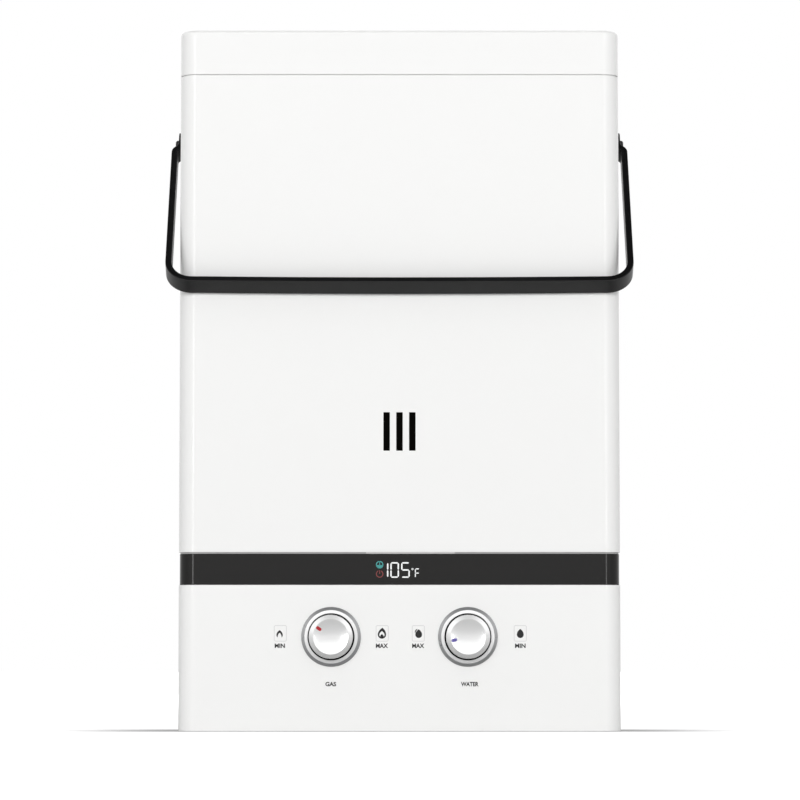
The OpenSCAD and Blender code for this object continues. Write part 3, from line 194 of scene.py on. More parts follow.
def open_faces(piece: Piece, test: Test) -> None:
    """Deletes the faces that pass a test.

    Args:
        piece: The object to edit.
        test: Takes a face's centre and normal.
    """
    edit(piece, "FACE")
    for face in piece.data.polygons:
        face.select = test(face.center, face.normal)
    bpy.ops.object.mode_set(mode="EDIT")
    bpy.ops.mesh.delete(type="FACE")
    leave_edit()


def pick_edges(piece: Piece, test: Test) -> int:
    """Selects the edges that pass a test, and enters edit mode.

    Args:
        piece: The object to edit.
        test: Takes the places of an edge's two ends.

    Returns:
        How many edges were selected.
    """
    edit(piece, "EDGE")
    points = piece.data.vertices
    count = 0
    for edge in piece.data.edges:
        ends = (points[edge.vertices[0]].co, points[edge.vertices[1]].co)
        edge.select = test(*ends)
        count += edge.select
    bpy.ops.object.mode_set(mode="EDIT")
    return count


def extrude(*way: float) -> None:
    """Extrudes what is selected by a way along x, y and z."""
    bpy.ops.mesh.extrude_region_move(TRANSFORM_OT_translate={"value": way})


def round_edges(piece: Piece, test: Test,
                radius: float, steps: int) -> None:
    """Bevels chosen edges to a radius.

    Args:
        piece: The object to edit.
        test: Takes the places of an edge's two ends.
        radius: Radius of the rounding.
        steps: Number of faces over it.
    """
    if pick_edges(piece, test):
        bpy.ops.mesh.bevel(offset=radius, segments=steps, profile=0.5, affect="EDGES")
    leave_edit()


def apply_modifier(piece: Piece, kind: str, **settings: object) -> None:
    """Adds a modifier, sets its values and applies it.

    Args:
        piece: The object that gets it.
        kind: Type of the modifier.
        settings: Its values by name.
    """
    activate(piece)
    modifier = piece.modifiers.new(kind.lower(), kind)
    for key, value in settings.items():
        setattr(modifier, key, value)
    bpy.ops.object.modifier_apply(modifier=modifier.name)


def thicken(piece: Piece, wall: float) -> None:
    """Gives a shell a wall on the inner side of its faces."""
    apply_modifier(piece, "SOLIDIFY", thickness=wall, offset=-1, use_even_offset=True)


def soften(piece: Piece, radius: float, steps: int = 2, angle: float = 40) -> None:
    """Rounds every sharp edge a little, so that it catches the light.

    Args:
        piece: The object.
        radius: Radius of the rounding.
        steps: Number of faces over it.
        angle: Edges that turn by more than this many degrees are rounded.
    """
    apply_modifier(piece, "BEVEL", width=radius, segments=steps, limit_method="ANGLE",
                   angle_limit=math.radians(angle), use_clamp_overlap=True)


def shade(piece: Piece, angle: float = 32) -> None:
    """Shades an object smooth, with its large faces kept flat.

    Args:
        piece: The object.
        angle: Edges that turn by more than this many degrees stay sharp.
    """
    activate(piece)
    bpy.ops.object.shade_smooth_by_angle(angle=math.radians(angle))
    apply_modifier(piece, "WEIGHTED_NORMAL", keep_sharp=True, weight=80)


def mend(piece: Piece, distance: float = 0.001 * MM) -> None:
    """Merges doubled points and turns every face outwards.

    Args:
        piece: The object.
        distance: Points that are nearer than this become one.
    """
    edit_all(piece, "VERT")
    bpy.ops.mesh.remove_doubles(threshold=distance)
    bpy.ops.mesh.normals_make_consistent(inside=False)
    leave_edit()


def cut(piece: Piece, tools: Iterable[Piece], operation: str = "DIFFERENCE") -> None:
    """Takes the shapes of other objects out of a piece or adds them, and deletes them.

    Args:
        piece: The piece that is cut.
        tools: The other shapes.
        operation: DIFFERENCE takes them out, UNION adds them.
    """
    for tool in tools:
        apply_modifier(piece, "BOOLEAN", object=tool, solver="EXACT", operation=operation)
        bpy.data.objects.remove(tool)


def join(name: str, parts: Sequence[Piece]) -> Piece:
    """Joins objects into one.

    Args:
        name: Name of the joined object.
        parts: The objects, at least one.

    Returns:
        The joined object.
    """
    clear_selection()
    for part in parts:
        part.select_set(True)
    bpy.context.view_layer.objects.active = parts[0]
    if len(parts) > 1:
        bpy.ops.object.join()
    parts[0].name = name
    return parts[0]


def copy_of(piece: Piece, place: Sequence[float] = (0, 0, 0)) -> Piece:
    """Copies an object with a mesh of its own.

    Args:
        piece: The object to copy.
        place: Where the origin of the copy's mesh goes.

    Returns:
        The copy.
    """
    twin = piece.copy()
    twin.data = piece.data.copy()
    bpy.context.scene.collection.objects.link(twin)
    return move(twin, place)


def move(piece: Piece, place: Sequence[float], *turns: Matrix) -> Piece:
    """Turns a mesh round the origin and moves it to a place.

    Args:
        piece: The mesh's object.
        place: Where the origin goes.
        turns: Turns and moves that come first, the last of them first.

    Returns:
        The same object.
    """
    matrix = Matrix.Translation(place)
    for turn in turns:
        matrix = matrix @ turn
    piece.data.transform(matrix)
    return piece


def span(piece: Piece) -> tuple[Vector, Vector]:
    """Measures a mesh.

    Args:
        piece: The mesh's object.

    Returns:
        Its lowest and highest corner.
    """
    points = [point.co for point in piece.data.vertices]
    return (Vector([min(point[axis] for point in points) for axis in range(3)]),
            Vector([max(point[axis] for point in points) for axis in range(3)]))


def turned(name: str, rings: Sequence[Ring], centre: Sequence[float] = (0, 0, 0),
           sides: int = 64) -> Piece:
    """Makes a round piece that faces forward, from rings of a profile.

    The first ring is a circle, which is extruded and resized from ring to ring. A radius of
    zero closes an end in a point, and an end that isn't closed so gets a flat face.

    Args:
        name: Name of the piece.
        rings: Radius and distance in front of the centre, for each ring.
        centre: Where the piece's axis crosses the plane of distance zero.
        sides: Number of sides.

    Returns:
        The piece, with its place in its mesh.
    """
    clear_selection()
    tip = 0.0005 * MM
    radius, out = rings[0]
    radius = max(radius, tip)
    bpy.ops.mesh.primitive_circle_add(vertices=sides, radius=radius, location=(0, -out, 0),
                                      rotation=(math.pi / 2, 0, 0))
    piece = settle(bpy.context.object)
    piece.name = name
    closed = rings[0] == rings[-1]
    edit_all(piece, "EDGE")
    if not closed:
        bpy.ops.mesh.edge_face_add()
    for next_radius, next_out in rings[1:]:
        next_radius = max(next_radius, tip)
        extrude(0, out - next_out, 0)
        share = next_radius / radius
        bpy.ops.transform.resize(value=(share, 1, share), center_override=(0, -next_out, 0))
        radius, out = next_radius, next_out
    leave_edit()
    mend(piece, 0.01 * MM if closed or min(r for r, _ in rings) < tip else 0.001 * MM)
    return move(piece, centre)


def rod(name: str, radius: float, back: float, front: float,
        centre: Sequence[float] = (0, 0, 0), sides: int = 32) -> Piece:
    """Makes a round rod that faces forward.

    Args:
        name: Name of the rod.
        radius: Its radius.
        back: Distance of its rear end in front of the centre.
        front: Distance of its front end in front of the centre.
        centre: A point on its axis.
        sides: Number of sides.

    Returns:
        The rod.
    """
    return turned(name, [(radius, back), (radius, front)], centre, sides)


def prism(name: str, low: Sequence[float], high: Sequence[float], radius: float, steps: int,
          axis: int = 1) -> Piece:
    """Makes a block whose edges along one axis are rounded.

    Args:
        name: Name of the piece.
        low: Lowest corner.
        high: Highest corner.
        radius: Radius of those edges.
        steps: Faces over each of them.
        axis: The axis: 0, 1 or 2.

    Returns:
        The piece.
    """
    piece = block(name, low, high)
    length = high[axis] - low[axis]
    round_edges(piece, lambda a, b: abs(a[axis] - b[axis]) > length / 2, radius, steps)
    return piece


def capsule(name: str, length: float, width: float, depth: float, steps: int = 8) -> Piece:
    """Makes an upright slot shape with round ends, centred on the origin.

    Args:
        name: Name of the shape.
        length: Its height, with the round ends.
        width: Its width.
        depth: Its depth from front to back.
        steps: Faces over each quarter of an end.

    Returns:
        The shape.
    """
    half = Vector((width, depth, length)) / 2
    return prism(name, -half, half, width / 2 * 0.999, steps)


def bar(name: str, low: Sequence[float], high: Sequence[float], rounding: float,
        steps: int = 3) -> Piece:
    """Makes a block with every edge rounded.

    Args:
        name: Name of the piece.
        low: Lowest corner.
        high: Highest corner.
        rounding: Radius of its edges.
        steps: Faces over each edge.

    Returns:
        The piece.
    """
    piece = block(name, low, high)
    soften(piece, rounding, steps)
    return piece


# ---------------------------------------------------------------- shared shader effects


SOCKET_KINDS = {1: "NodeSocketFloat", 3: "NodeSocketVector", 4: "NodeSocketColor"}
NOWHERE = (0.0, 0.0, 0.0)
WHITE = (1.0, 1.0, 1.0, 1.0)
FINE_RATIO = 3.7
Tree = bpy.types.NodeTree
Socket = bpy.types.NodeSocket
Feed = Socket | float | tuple[float, ...]


def new_group(name: str, inputs: dict[str, float | tuple[float, ...]],
              outputs: dict[str, int]) -> tuple[Tree, dict[str, Socket], dict[str, Socket]]:
    """Starts a shader node group with named sockets.

    Args:
        name: Name of the group.
        inputs: Default of each input, whose length gives its kind.
        outputs: Number of values that each output holds.

    Returns:
        The group, its inputs and its outputs by name.
    """
    group = bpy.data.node_groups.new(name, "ShaderNodeTree")
    for label, value in inputs.items():
        kind = SOCKET_KINDS[len(value) if isinstance(value, tuple) else 1]
        group.interface.new_socket(label, in_out="INPUT", socket_type=kind).default_value = value
    for label, count in outputs.items():
        group.interface.new_socket(label, in_out="OUTPUT", socket_type=SOCKET_KINDS[count])
    source = group.nodes.new("NodeGroupInput").outputs
    target = group.nodes.new("NodeGroupOutput").inputs
    return (group, {label: source[label] for label in inputs},
            {label: target[label] for label in outputs})


def add_node(tree: Tree, kind: str, feeds: dict[str, Feed] | None = None,
             **settings: object) -> Node:
    """Adds a node, sets its properties and feeds its inputs.

    Args:
        tree: The tree that gets the node.
        kind: The node's type, without its first part.
        feeds: For each input, by name or place, a socket to link or a value to set.
        settings: The node's properties by name.

    Returns:
        The node.
    """
    node = tree.nodes.new(f"ShaderNode{kind}")
    for key, value in settings.items():
        setattr(node, key, value)
    for key, value in (feeds or {}).items():
        target = node.inputs[int(key)] if key.isdigit() else node.inputs[key]
        if isinstance(value, Socket):
            tree.links.new(value, target)
        else:
            target.default_value = value
    return node


def calc(tree: Tree, operation: str, *values: Feed, vector: bool = False) -> Socket:
    """Adds a node that computes with numbers or with vectors.

    Args:
        tree: The tree that gets the node.
        operation: What it computes.
        values: What feeds each input.
        vector: True where it takes vectors.

    Returns:
        Its result.
    """
    node = add_node(tree, "VectorMath" if vector else "Math",
                    {str(place): value for place, value in enumerate(values)},
                    operation=operation)
    return node.outputs["Value" if operation == "LENGTH" else 0]


def ranged(tree: Tree, value: Feed, start: Feed, end: Feed, low: Feed = 0.0, high: Feed = 1.0,
           smooth: bool = False) -> Socket:
    """Adds a node that maps one range to another.

    Args:
        tree: The tree that gets the node.
        value: What is mapped.
        start: Where the result is low.
        end: Where the result is high.
        low: The result at the start.
        high: The result at the end.
        smooth: True eases in and out.

    Returns:
        The mapped value.
    """
    return add_node(tree, "MapRange", {"Value": value, "From Min": start, "From Max": end,
                                       "To Min": low, "To Max": high},
                    interpolation_type="SMOOTHSTEP" if smooth else "LINEAR").outputs[0]


def mixed(tree: Tree, share: Feed, first: Feed, second: Feed, colour: bool = False) -> Socket:
    """Adds a node that mixes two numbers or two colours.

    Args:
        tree: The tree that gets the node.
        share: Share of the second.
        first: The first value.
        second: The second value.
        colour: True for colours.

    Returns:
        The mix.
    """
    kind, one, two, result = ("RGBA", "6", "7", 2) if colour else ("FLOAT", "2", "3", 0)
    return add_node(tree, "Mix", {"0": share, one: first, two: second},
                    data_type=kind).outputs[result]


def noise(tree: Tree, place: Socket, scale: Feed, detail: float,
          roughness: float = 0.5) -> Socket:
    """Adds a noise.

    Args:
        tree: The tree that gets the node.
        place: Where the noise is read.
        scale: Its scale.
        detail: How many finer layers it has.
        roughness: How strong those layers are.

    Returns:
        The noise, from 0 to 1.
    """
    return add_node(tree, "TexNoise", {"Vector": place, "Scale": scale, "Detail": detail,
                                       "Roughness": roughness}).outputs[0]


def ripple_group() -> Tree:
    """Builds the ripple of a sprayed or moulded skin.

    Returns:
        A group that turns a place into a height.
    """
    group, source, target = new_group(
        "skin_ripple", {"Place": NOWHERE, "Scale": 900.0, "Fine Share": 0.3}, {"Height": 1})
    broad = noise(group, source["Place"], source["Scale"], 1.0)
    finer = calc(group, "MULTIPLY", source["Scale"], FINE_RATIO)
    fine = noise(group, source["Place"], finer, 2.0)
    group.links.new(mixed(group, source["Fine Share"], broad, fine), target["Height"])
    return group


def drift_group() -> Tree:
    """Builds the slow drift of tone and gloss over a used surface.

    Returns:
        A group that varies a colour and a roughness over the surface.
    """
    group, source, target = new_group(
        "tone_drift", {"Place": NOWHERE, "Colour": WHITE, "Shade": WHITE, "Scale": 9.0,
                       "Amount": 0.2, "Gloss Low": 0.3, "Gloss High": 0.4},
        {"Colour": 4, "Roughness": 1})
    cloud = noise(group, source["Place"], source["Scale"], 5.0, 0.62)
    share = calc(group, "MULTIPLY", ranged(group, cloud, 0.32, 0.7), source["Amount"])
    tone = mixed(group, share, source["Colour"], source["Shade"], colour=True)
    gloss = ranged(group, cloud, 0.3, 0.72, source["Gloss Low"], source["Gloss High"])
    group.links.new(tone, target["Colour"])
    group.links.new(gloss, target["Roughness"])
    return group


def grain_group() -> Tree:
    """Builds the drawn grain of rolled or brushed metal.

    Returns:
        A group that turns a place into fine lines along one axis.
    """
    group, source, target = new_group(
        "drawn_grain", {"Place": NOWHERE, "Stretch": (1.0, 1.0, 1.0), "Scale": 2000.0},
        {"Lines": 1})
    place = add_node(group, "Mapping", {"Vector": source["Place"], "Scale": source["Stretch"]})
    group.links.new(noise(group, place.outputs[0], source["Scale"], 3.0), target["Lines"])
    return group


def contact_group() -> Tree:
    """Builds a painted shadow on the floor, soft round a box's foot.

    Returns:
        A group that gives the distance from the box, and a painted shadow tone that is darkest at its foot.
    """
    group, source, target = new_group(
        "painted_contact_shadow", {"Place": NOWHERE, "Middle": NOWHERE, "Half": NOWHERE,
                          "Reach": (1.0, 1.0, 1.0), "Tone": 0.5}, {"Gap": 1, "Shade": 1})
    offset = calc(group, "SUBTRACT", source["Place"], source["Middle"], vector=True)
    away = calc(group, "ABSOLUTE", offset, vector=True)
    outside = calc(group, "SUBTRACT", away, source["Half"], vector=True)
    clear = calc(group, "MAXIMUM", outside, NOWHERE, vector=True)
    scaled = calc(group, "DIVIDE", clear, source["Reach"], vector=True)
    far = calc(group, "LENGTH", scaled, vector=True)
    tone = ranged(group, far, 0.0, 1.0, source["Tone"], 1.0, smooth=True)
    group.links.new(calc(group, "LENGTH", clear, vector=True), target["Gap"])
    group.links.new(tone, target["Shade"])
    return group


RIPPLE = ripple_group()
DRIFT = drift_group()
GRAIN = grain_group()


def shown(*levels: float) -> Colour:
    """Turns a colour as a screen shows it, from 0 to 255, into linear values.

    Args:
        levels: Red, green and blue.

    Returns:
        The linear values.
    """
    shares = [level / 255 for level in levels]
    return tuple(share / 12.92 if share <= 0.04045 else ((share + 0.055) / 1.055) ** 2.4
                 for share in shares)


@dataclass(frozen=True)
class Finish:
    """What every finish has: a tone that drifts to a second one, and a varied gloss."""

    name: str
    colour: Colour
    shade: Colour
    gloss: tuple[float, float] = (0.3, 0.4)
    drift: float = 0.15
    drift_scale: float = 9.0

    def start(self) -> tuple[Material, Node, Socket, Node]:
        """Starts the material with its drifting tone and gloss.

        Returns:
            The material, its shader, the place socket and the node of the drift.
        """
        material = bpy.data.materials.new(self.name)
        material.use_nodes = True
        tree = material.node_tree
        shader = tree.nodes["Principled BSDF"]
        place = add_node(tree, "TexCoord").outputs["Object"]
        drift = add_node(tree, "Group", {
            "Place": place, "Colour": (*self.colour, 1.0), "Shade": (*self.shade, 1.0),
            "Scale": self.drift_scale, "Amount": self.drift,
            "Gloss Low": self.gloss[0], "Gloss High": self.gloss[1]}, node_tree=DRIFT)
        tree.links.new(drift.outputs["Colour"], shader.inputs["Base Color"])
        tree.links.new(drift.outputs["Roughness"], shader.inputs["Roughness"])
        return material, shader, place, drift

    @staticmethod
    def raise_skin(tree: Tree, height: Socket, strength: float, distance: float) -> None:
        """Lets a height stand out of the surface.

        Args:
            tree: The material's tree.
            height: The height.
            strength: How strong it is.
            distance: How far it stands out.
        """
        bump = add_node(tree, "Bump", {"Height": height, "Strength": strength,
                                       "Distance": distance})
        tree.links.new(bump.outputs[0], tree.nodes["Principled BSDF"].inputs["Normal"])


@dataclass(frozen=True)
class Skin(Finish):
    """A painted, moulded or printed finish with a fine ripple, which may be lit."""

    ripple: float = 0.02
    ripple_scale: float = 900.0
    fine_share: float = 0.3
    coat: float = 0.0
    coat_roughness: float = 0.1
    specular: float = 0.5
    metallic: float = 0.0
    light: float = 0.0

    def material(self) -> Material:
        """Builds the material of this finish.

        Returns:
            The material.
        """
        material, shader, place, drift = self.start()
        tree = material.node_tree
        if self.ripple:
            ripple = add_node(tree, "Group", {"Place": place, "Scale": self.ripple_scale,
                                              "Fine Share": self.fine_share}, node_tree=RIPPLE)
            self.raise_skin(tree, ripple.outputs[0], self.ripple, 0.2 * MM)
        for label, value in (("Specular IOR Level", self.specular), ("Metallic", self.metallic),
                             ("Coat Weight", self.coat), ("Coat Roughness", self.coat_roughness)):
            shader.inputs[label].default_value = value
        if self.light:
            tree.links.new(drift.outputs["Colour"], shader.inputs["Emission Color"])
            shader.inputs["Emission Strength"].default_value = self.light
        return material


@dataclass(frozen=True)
class Metal(Finish):
    """A bare metal with drawn grain, a slow drift of tone and a varied gloss."""

    gloss: tuple[float, float] = (0.28, 0.42)
    drift: float = 0.5
    drift_scale: float = 30.0
    stretch: tuple[float, float, float] = (1.0, 1.0, 0.04)
    grain: float = 0.15
    grain_scale: float = 1800.0

    def material(self) -> Material:
        """Builds the material of this finish.

        Returns:
            The material.
        """
        material, shader, place, _ = self.start()
        tree = material.node_tree
        grain = add_node(tree, "Group", {"Place": place, "Stretch": self.stretch,
                                         "Scale": self.grain_scale}, node_tree=GRAIN)
        self.raise_skin(tree, grain.outputs[0], self.grain, 0.1 * MM)
        shader.inputs["Metallic"].default_value = 1.0
        return material


@dataclass(frozen=True)
class TrimFinish(Finish):
    """The grey of the fine trim strip, with its paler stretch under the display."""

    pale: Colour = shown(215, 215, 214)
    pale_from: float = -26 * MM
    pale_to: float = 43 * MM

    def material(self) -> Material:
        """Builds the strip's material.

        Returns:
            The material.
        """
        material, _, place, drift = self.start()
        tree = material.node_tree
        x = add_node(tree, "SeparateXYZ", {"0": place}).outputs["X"]
        inside = calc(tree, "MULTIPLY", calc(tree, "GREATER_THAN", x, self.pale_from),
                      calc(tree, "LESS_THAN", x, self.pale_to))
        tone = mixed(tree, inside, (*self.colour, 1.0), (*self.pale, 1.0), colour=True)
        for label in ("Colour", "Shade"):
            tree.links.new(tone, drift.inputs[label])
        return material


def print_finish(name: str, colour: Colour, light: float = 0.0) -> Skin:
    """Makes the finish of a printed or lit mark.

    Args:
        name: Name of the finish.
        colour: Its colour.
        light: Strength of its own light.

    Returns:
        The finish.
    """
    return Skin(name, colour, tuple(0.8 * part for part in colour), gloss=(0.35, 0.45),
                drift=0.25, drift_scale=700.0, ripple=0.0, light=light)


FINISHES: dict[Slot, Finish] = {
    Slot.SHEET: Skin("white_sheet", shown(244, 244, 243), shown(242, 242, 240),
                     gloss=(0.30, 0.36), drift=0.06, ripple=0.03, ripple_scale=420.0, specular=0.3,
                     coat=0.6, coat_roughness=0.07),
    Slot.PLASTIC: Skin("white_plastic", shown(245, 245, 244), shown(241, 241, 239),
                       gloss=(0.28, 0.32), drift=0.06, ripple=0.04, ripple_scale=1500.0,
                       fine_share=0.6),
    Slot.GLOSSY: Skin("dark_glossy", shown(17, 16, 15), shown(20, 19, 18),
                      gloss=(0.11, 0.15), ripple=0.01, specular=0.36),
    Slot.TRIM: TrimFinish("trim_grey", shown(176, 176, 176), shown(176, 176, 176), (0.4, 0.5)),
    Slot.HANDLE: Skin("handle_black", shown(5, 5, 6), shown(8, 8, 9),
                      gloss=(0.26, 0.34), ripple=0.08, ripple_scale=1400.0, fine_share=0.5),
    Slot.ZINC: Metal("zinc_plate", shown(200, 202, 206), shown(168, 172, 178)),
    Slot.STAINLESS: Metal("stainless_steel", shown(205, 204, 202), shown(170, 166, 160),
                          stretch=(0.05, 1, 1)),
    Slot.CHROME: Metal("chrome", shown(225, 226, 228), shown(214, 215, 217),
                       gloss=(0.12, 0.2), drift=0.2, grain=0.03),
    Slot.ALUMINIUM: Metal("cast_aluminium", shown(206, 208, 210), shown(176, 178, 180),
                          gloss=(0.42, 0.58), stretch=(1, 1, 1), grain=0.4,
                          grain_scale=900.0),
    Slot.BRASS: Metal("brass", shown(214, 184, 120), shown(180, 148, 86),
                      gloss=(0.2, 0.34), stretch=(1, 0.05, 1)),
    Slot.COPPER: Metal("copper", shown(214, 138, 104), shown(158, 92, 70),
                       gloss=(0.24, 0.42), drift_scale=45.0),
    Slot.RUBBER: Skin("rubber", shown(150, 150, 149), shown(138, 138, 137),
                      gloss=(0.7, 0.85), ripple=0.3, ripple_scale=1500.0),
    Slot.BLACK: Skin("black_plastic", shown(40, 40, 41), shown(34, 34, 35),
                     gloss=(0.45, 0.6), ripple=0.3, ripple_scale=1600.0, fine_share=0.7),
    Slot.BOARD: Skin("board_green", shown(34, 92, 58), shown(26, 74, 46),
                     gloss=(0.3, 0.4), drift=0.6, drift_scale=240.0),
    # Painted shade: the mica's near-black colour stands in for the dark chamber seen through the sight slots.
    Slot.MICA: Skin("mica_sheet_painted_shade", (0.0016, 0.0012, 0.0008), (0.0008, 0.0006, 0.0004),
                    gloss=(0.1, 0.25), drift=0.6, drift_scale=160.0, ripple=0.0, specular=0.02),
    Slot.CERAMIC: Skin("ceramic", shown(236, 232, 222), shown(224, 218, 204),
                       gloss=(0.12, 0.2), coat=0.5),
    Slot.CELL: Skin("cell_jacket", shown(60, 66, 78), shown(48, 54, 64),
                    gloss=(0.2, 0.3), coat=0.5),
}
KNOB_FACE = Skin("knob_satin", shown(238, 238, 238), shown(232, 232, 232), gloss=(0.19, 0.23),
                 ripple=0.01, metallic=0.75)
BEZEL_BRIGHT = Skin("bezel_bright", shown(240, 240, 240), shown(234, 234, 235),
                    gloss=(0.2, 0.26), ripple=0.01, metallic=0.5)
# Painted shade: the well's near-black colour stands in for the shade deep in the gap round the knob.
BEZEL_SHADE_WELL = Skin("bezel_well_painted_shade", shown(8, 8, 8), shown(6, 6, 6), gloss=(0.5, 0.6), specular=0.1)
BEZEL_GREY = Skin("bezel_grey", shown(176, 177, 178), shown(164, 165, 166),
                  gloss=(0.24, 0.3), ripple=0.02, metallic=0.6)
MATERIALS: dict[Slot, Material] = {
    slot: finish.material() for slot, finish in FINISHES.items()}


def deliver(piece: Piece, slot: Slot, nodes: Sequence[str] = (), body: Body = Body.CASING,
            material: Material | None = None, angle: float = 32) -> None:
    """Hands a finished piece over: shading, material, body and the nodes it stands for.

    Args:
        piece: The finished piece.
        slot: The record's slot of its finish.
        nodes: CAD nodes that it replaces.
        body: The body that it rides on.
        material: Its material, where it isn't the slot's own.
        angle: Limit of smooth shading in degrees.
    """
    shade(piece, angle)
    piece.data.materials.clear()
    piece.data.materials.append(material or MATERIALS[slot])
    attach(piece, body.value)
    if nodes:
        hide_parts(*nodes)
    LOG.info("%s rides on %s and stands for %s", piece.name, body.value,
             ", ".join(nodes) or "no node")


def joint_place(name: str, rows: Iterable[dict] = frame["joints"]) -> Vector:
    """Finds the place of a joint, or of a row in another list of the record.

    Args:
        name: The row's name.
        rows: The list.

    Returns:
        Its place in the row frame.
    """
    return next(Vector(row["pos_m"]) for row in rows if row["name"] == name)


# ---------------------------------------------------------------- casing


@dataclass
class Casing:
    """White sheet and moulded shells, the dark band, the trim strip and the cap."""

    corner_r: float = 14 * MM
    corner_steps: int = 14
    sheet_t: float = 1.2 * MM
    mould_t: float = 2.5 * MM
    flange: float = 12 * MM
    edge_r: float = 0.3 * MM
    skirt: float = 0.75 * MM
    crown_r: float = 3 * MM
    lip_h: float = 7 * MM
    lip_in: float = 1.5 * MM
    slot_w: float = 5 * MM
    slot_h: float = 30 * MM
    slot_pitch: float = 10 * MM
    slot_corner: float = 0.4 * MM
    slot_edge_r: float = 0.12 * MM
    slot_count: int = 3
    slot_rise: float = 78.8 * MM
    pivot_r: float = 2.1 * MM
    bezel_hole_r: float = 19.9 * MM
    air_count: int = 7
    air_pitch: float = 16 * MM
    air_l: float = 40 * MM
    air_w: float = 5 * MM
    air_y: float = 47.5 * MM
    foot_r: float = 9 * MM
    foot_hole_r: float = 4.1 * MM
    drain_hole_r: float = 8 * MM
    hole_reach: float = 8 * MM
    band_inset: float = 0.7 * MM
    trim_t: float = 2.2 * MM
    trim_inset: float = 1.2 * MM
    band_edge_r: float = 0.25 * MM
    trim_edge_r: float = 0.15 * MM
    lip_stretch: float = 1.012
    exhaust: tuple[float, float] = (210 * MM, 64 * MM)
    exhaust_back: float = 13.5 * MM
    exhaust_r: float = 4 * MM

    def wrap(self, name: str, low: Vector, high: Vector, wall: float, inset: float = 0.0,
             flange: bool = True, floor: bool = False) -> Piece:
        """Builds a wall round the front and the sides of a box.

        Args:
            name: Name of the piece.
            low: Lowest corner of the box.
            high: Highest corner of the box.
            wall: Thickness of the wall.
            inset: How far the wall lies in from the case's white faces.
            flange: True folds the rear edges in, for the back panel.
            floor: True gives the wall a floor.

        Returns:
            The wall, still without softened edges.
        """
        piece = block(name, low, high)
        open_faces(piece, lambda c, n: (n.z if floor else abs(n.z)) > 0.5 or n.y > 0.5)
        self.round_corners(piece, low.y + MM, inset)
        if flange:
            self.fold_rear(piece, high.y)
        thicken(piece, wall)
        return piece

    def round_corners(self, piece: Piece, front: float, inset: float = 0.0) -> None:
        """Rounds the two upright front corners of a wall.

        Args:
            piece: The open wall.
            front: Edges in front of this place are rounded.
            inset: How far the wall lies in from the case's white faces.
        """
        round_edges(piece, lambda a, b: abs(a.z - b.z) > MM and a.y < front,
                    self.corner_r - inset, self.corner_steps)

    def fold_rear(self, piece: Piece, back: float) -> None:
        """Folds the two rear edges of a wall inwards.

        Args:
            piece: The open wall.
            back: Place of its rear edges.
        """
        for side in (-1, 1):
            pick_edges(piece, lambda a, b: min(a.y, b.y) > back - MM / 2
                       and a.x * side > 0 and abs(a.z - b.z) > MM)
            extrude(-side * self.flange, 0, 0)
            leave_edit()
        mend(piece)

    def front_shell(self) -> None:
        """Builds the folded front sheet with its sight slots."""
        low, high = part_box("front_shell")
        piece = self.wrap("front_sheet", low, high, self.sheet_t)
        tools = []
        foot = low.z + self.slot_rise
        for index in range(self.slot_count):
            x = (index - (self.slot_count - 1) / 2) * self.slot_pitch
            tools.append(prism(
                "slot_tool", (x - self.slot_w / 2, low.y - 3 * self.sheet_t, foot),
                (x + self.slot_w / 2, low.y + 3 * self.sheet_t, foot + self.slot_h),
                self.slot_corner, 4))
        pivot = joint_place("handle_swing")
        hole = rod("pivot_tool", self.pivot_r, -high.x - OVER, high.x + OVER)
        cut(piece, [*tools, move(hole, (0, pivot.y, pivot.z), QUARTER_Z)])
        soften(piece, self.slot_edge_r)
        deliver(piece, Slot.SHEET, ["front_shell"])

    def top_cap(self) -> None:
        """Builds the cap with its rounded upper edge, exhaust opening and inner lip."""
        low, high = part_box("top_cap")
        seam = low.z + self.lip_h
        piece = block("cap_sheet", (low.x, low.y, seam), high)
        open_faces(piece, lambda c, n: n.z < -0.5)
        self.round_corners(piece, low.y + MM)
        round_edges(piece, lambda a, b: min(a.z, b.z) > high.z - MM / 10
                    and min(a.y, b.y) < high.y - MM, self.crown_r, 6)
        thicken(piece, self.sheet_t)
        half_x, half_y = self.exhaust[0] / 2, self.exhaust[1] / 2
        cut(piece, [prism("mouth_tool", (-half_x, self.exhaust_back - half_y,
                                         high.z - 5 * self.sheet_t),
                          (half_x, self.exhaust_back + half_y, high.z + OVER),
                          self.exhaust_r, 6, axis=2)])
        soften(piece, self.edge_r)
        deliver(join("cap_sheet", [piece, self.cap_lip(low, high, seam)]), Slot.SHEET, ["top_cap"])

    def cap_lip(self, low: Vector, high: Vector, seam: float) -> Piece:
        """Builds the lip that the cap sits in the shell with.

        Args:
            low: Lowest corner of the cap.
            high: Highest corner of the cap.
            seam: Level of the cap's lower edge.

        Returns:
            The lip.
        """
        inset = self.lip_in
        lip = block("cap_lip", (low.x + inset, low.y + inset, low.z),
                    (high.x - inset, high.y - inset - 2 * self.sheet_t, seam + self.sheet_t))
        open_faces(lip, lambda c, n: abs(n.z) > 0.5)
        self.round_corners(lip, low.y + 2 * inset, inset)
        pick_edges(lip, lambda a, b: min(a.z, b.z) > seam)
        bpy.ops.mesh.extrude_region_move()
        across = (high.x - low.x - self.sheet_t) / (high.x - low.x - 2 * inset)
        bpy.ops.transform.resize(value=(across, self.lip_stretch, 1),
                                 center_override=(0, (low.y + high.y) / 2, 0))
        leave_edit()
        thicken(lip, self.sheet_t)
        return lip

    def display_band(self) -> None:
        """Builds the dark band round the front and the sides."""
        piece = self.wrap("band_cover", *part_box("display_band"), self.mould_t, self.band_inset)
        soften(piece, self.band_edge_r)
        deliver(piece, Slot.GLOSSY, ["display_band"])

    def trim_strip(self) -> None:
        """Builds the fine strip between the band and the front sheet."""
        piece = self.wrap("trim_line", *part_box("trim_strip"), self.trim_t, self.trim_inset, False)
        soften(piece, self.trim_edge_r)
        deliver(piece, Slot.TRIM, ["trim_strip"])

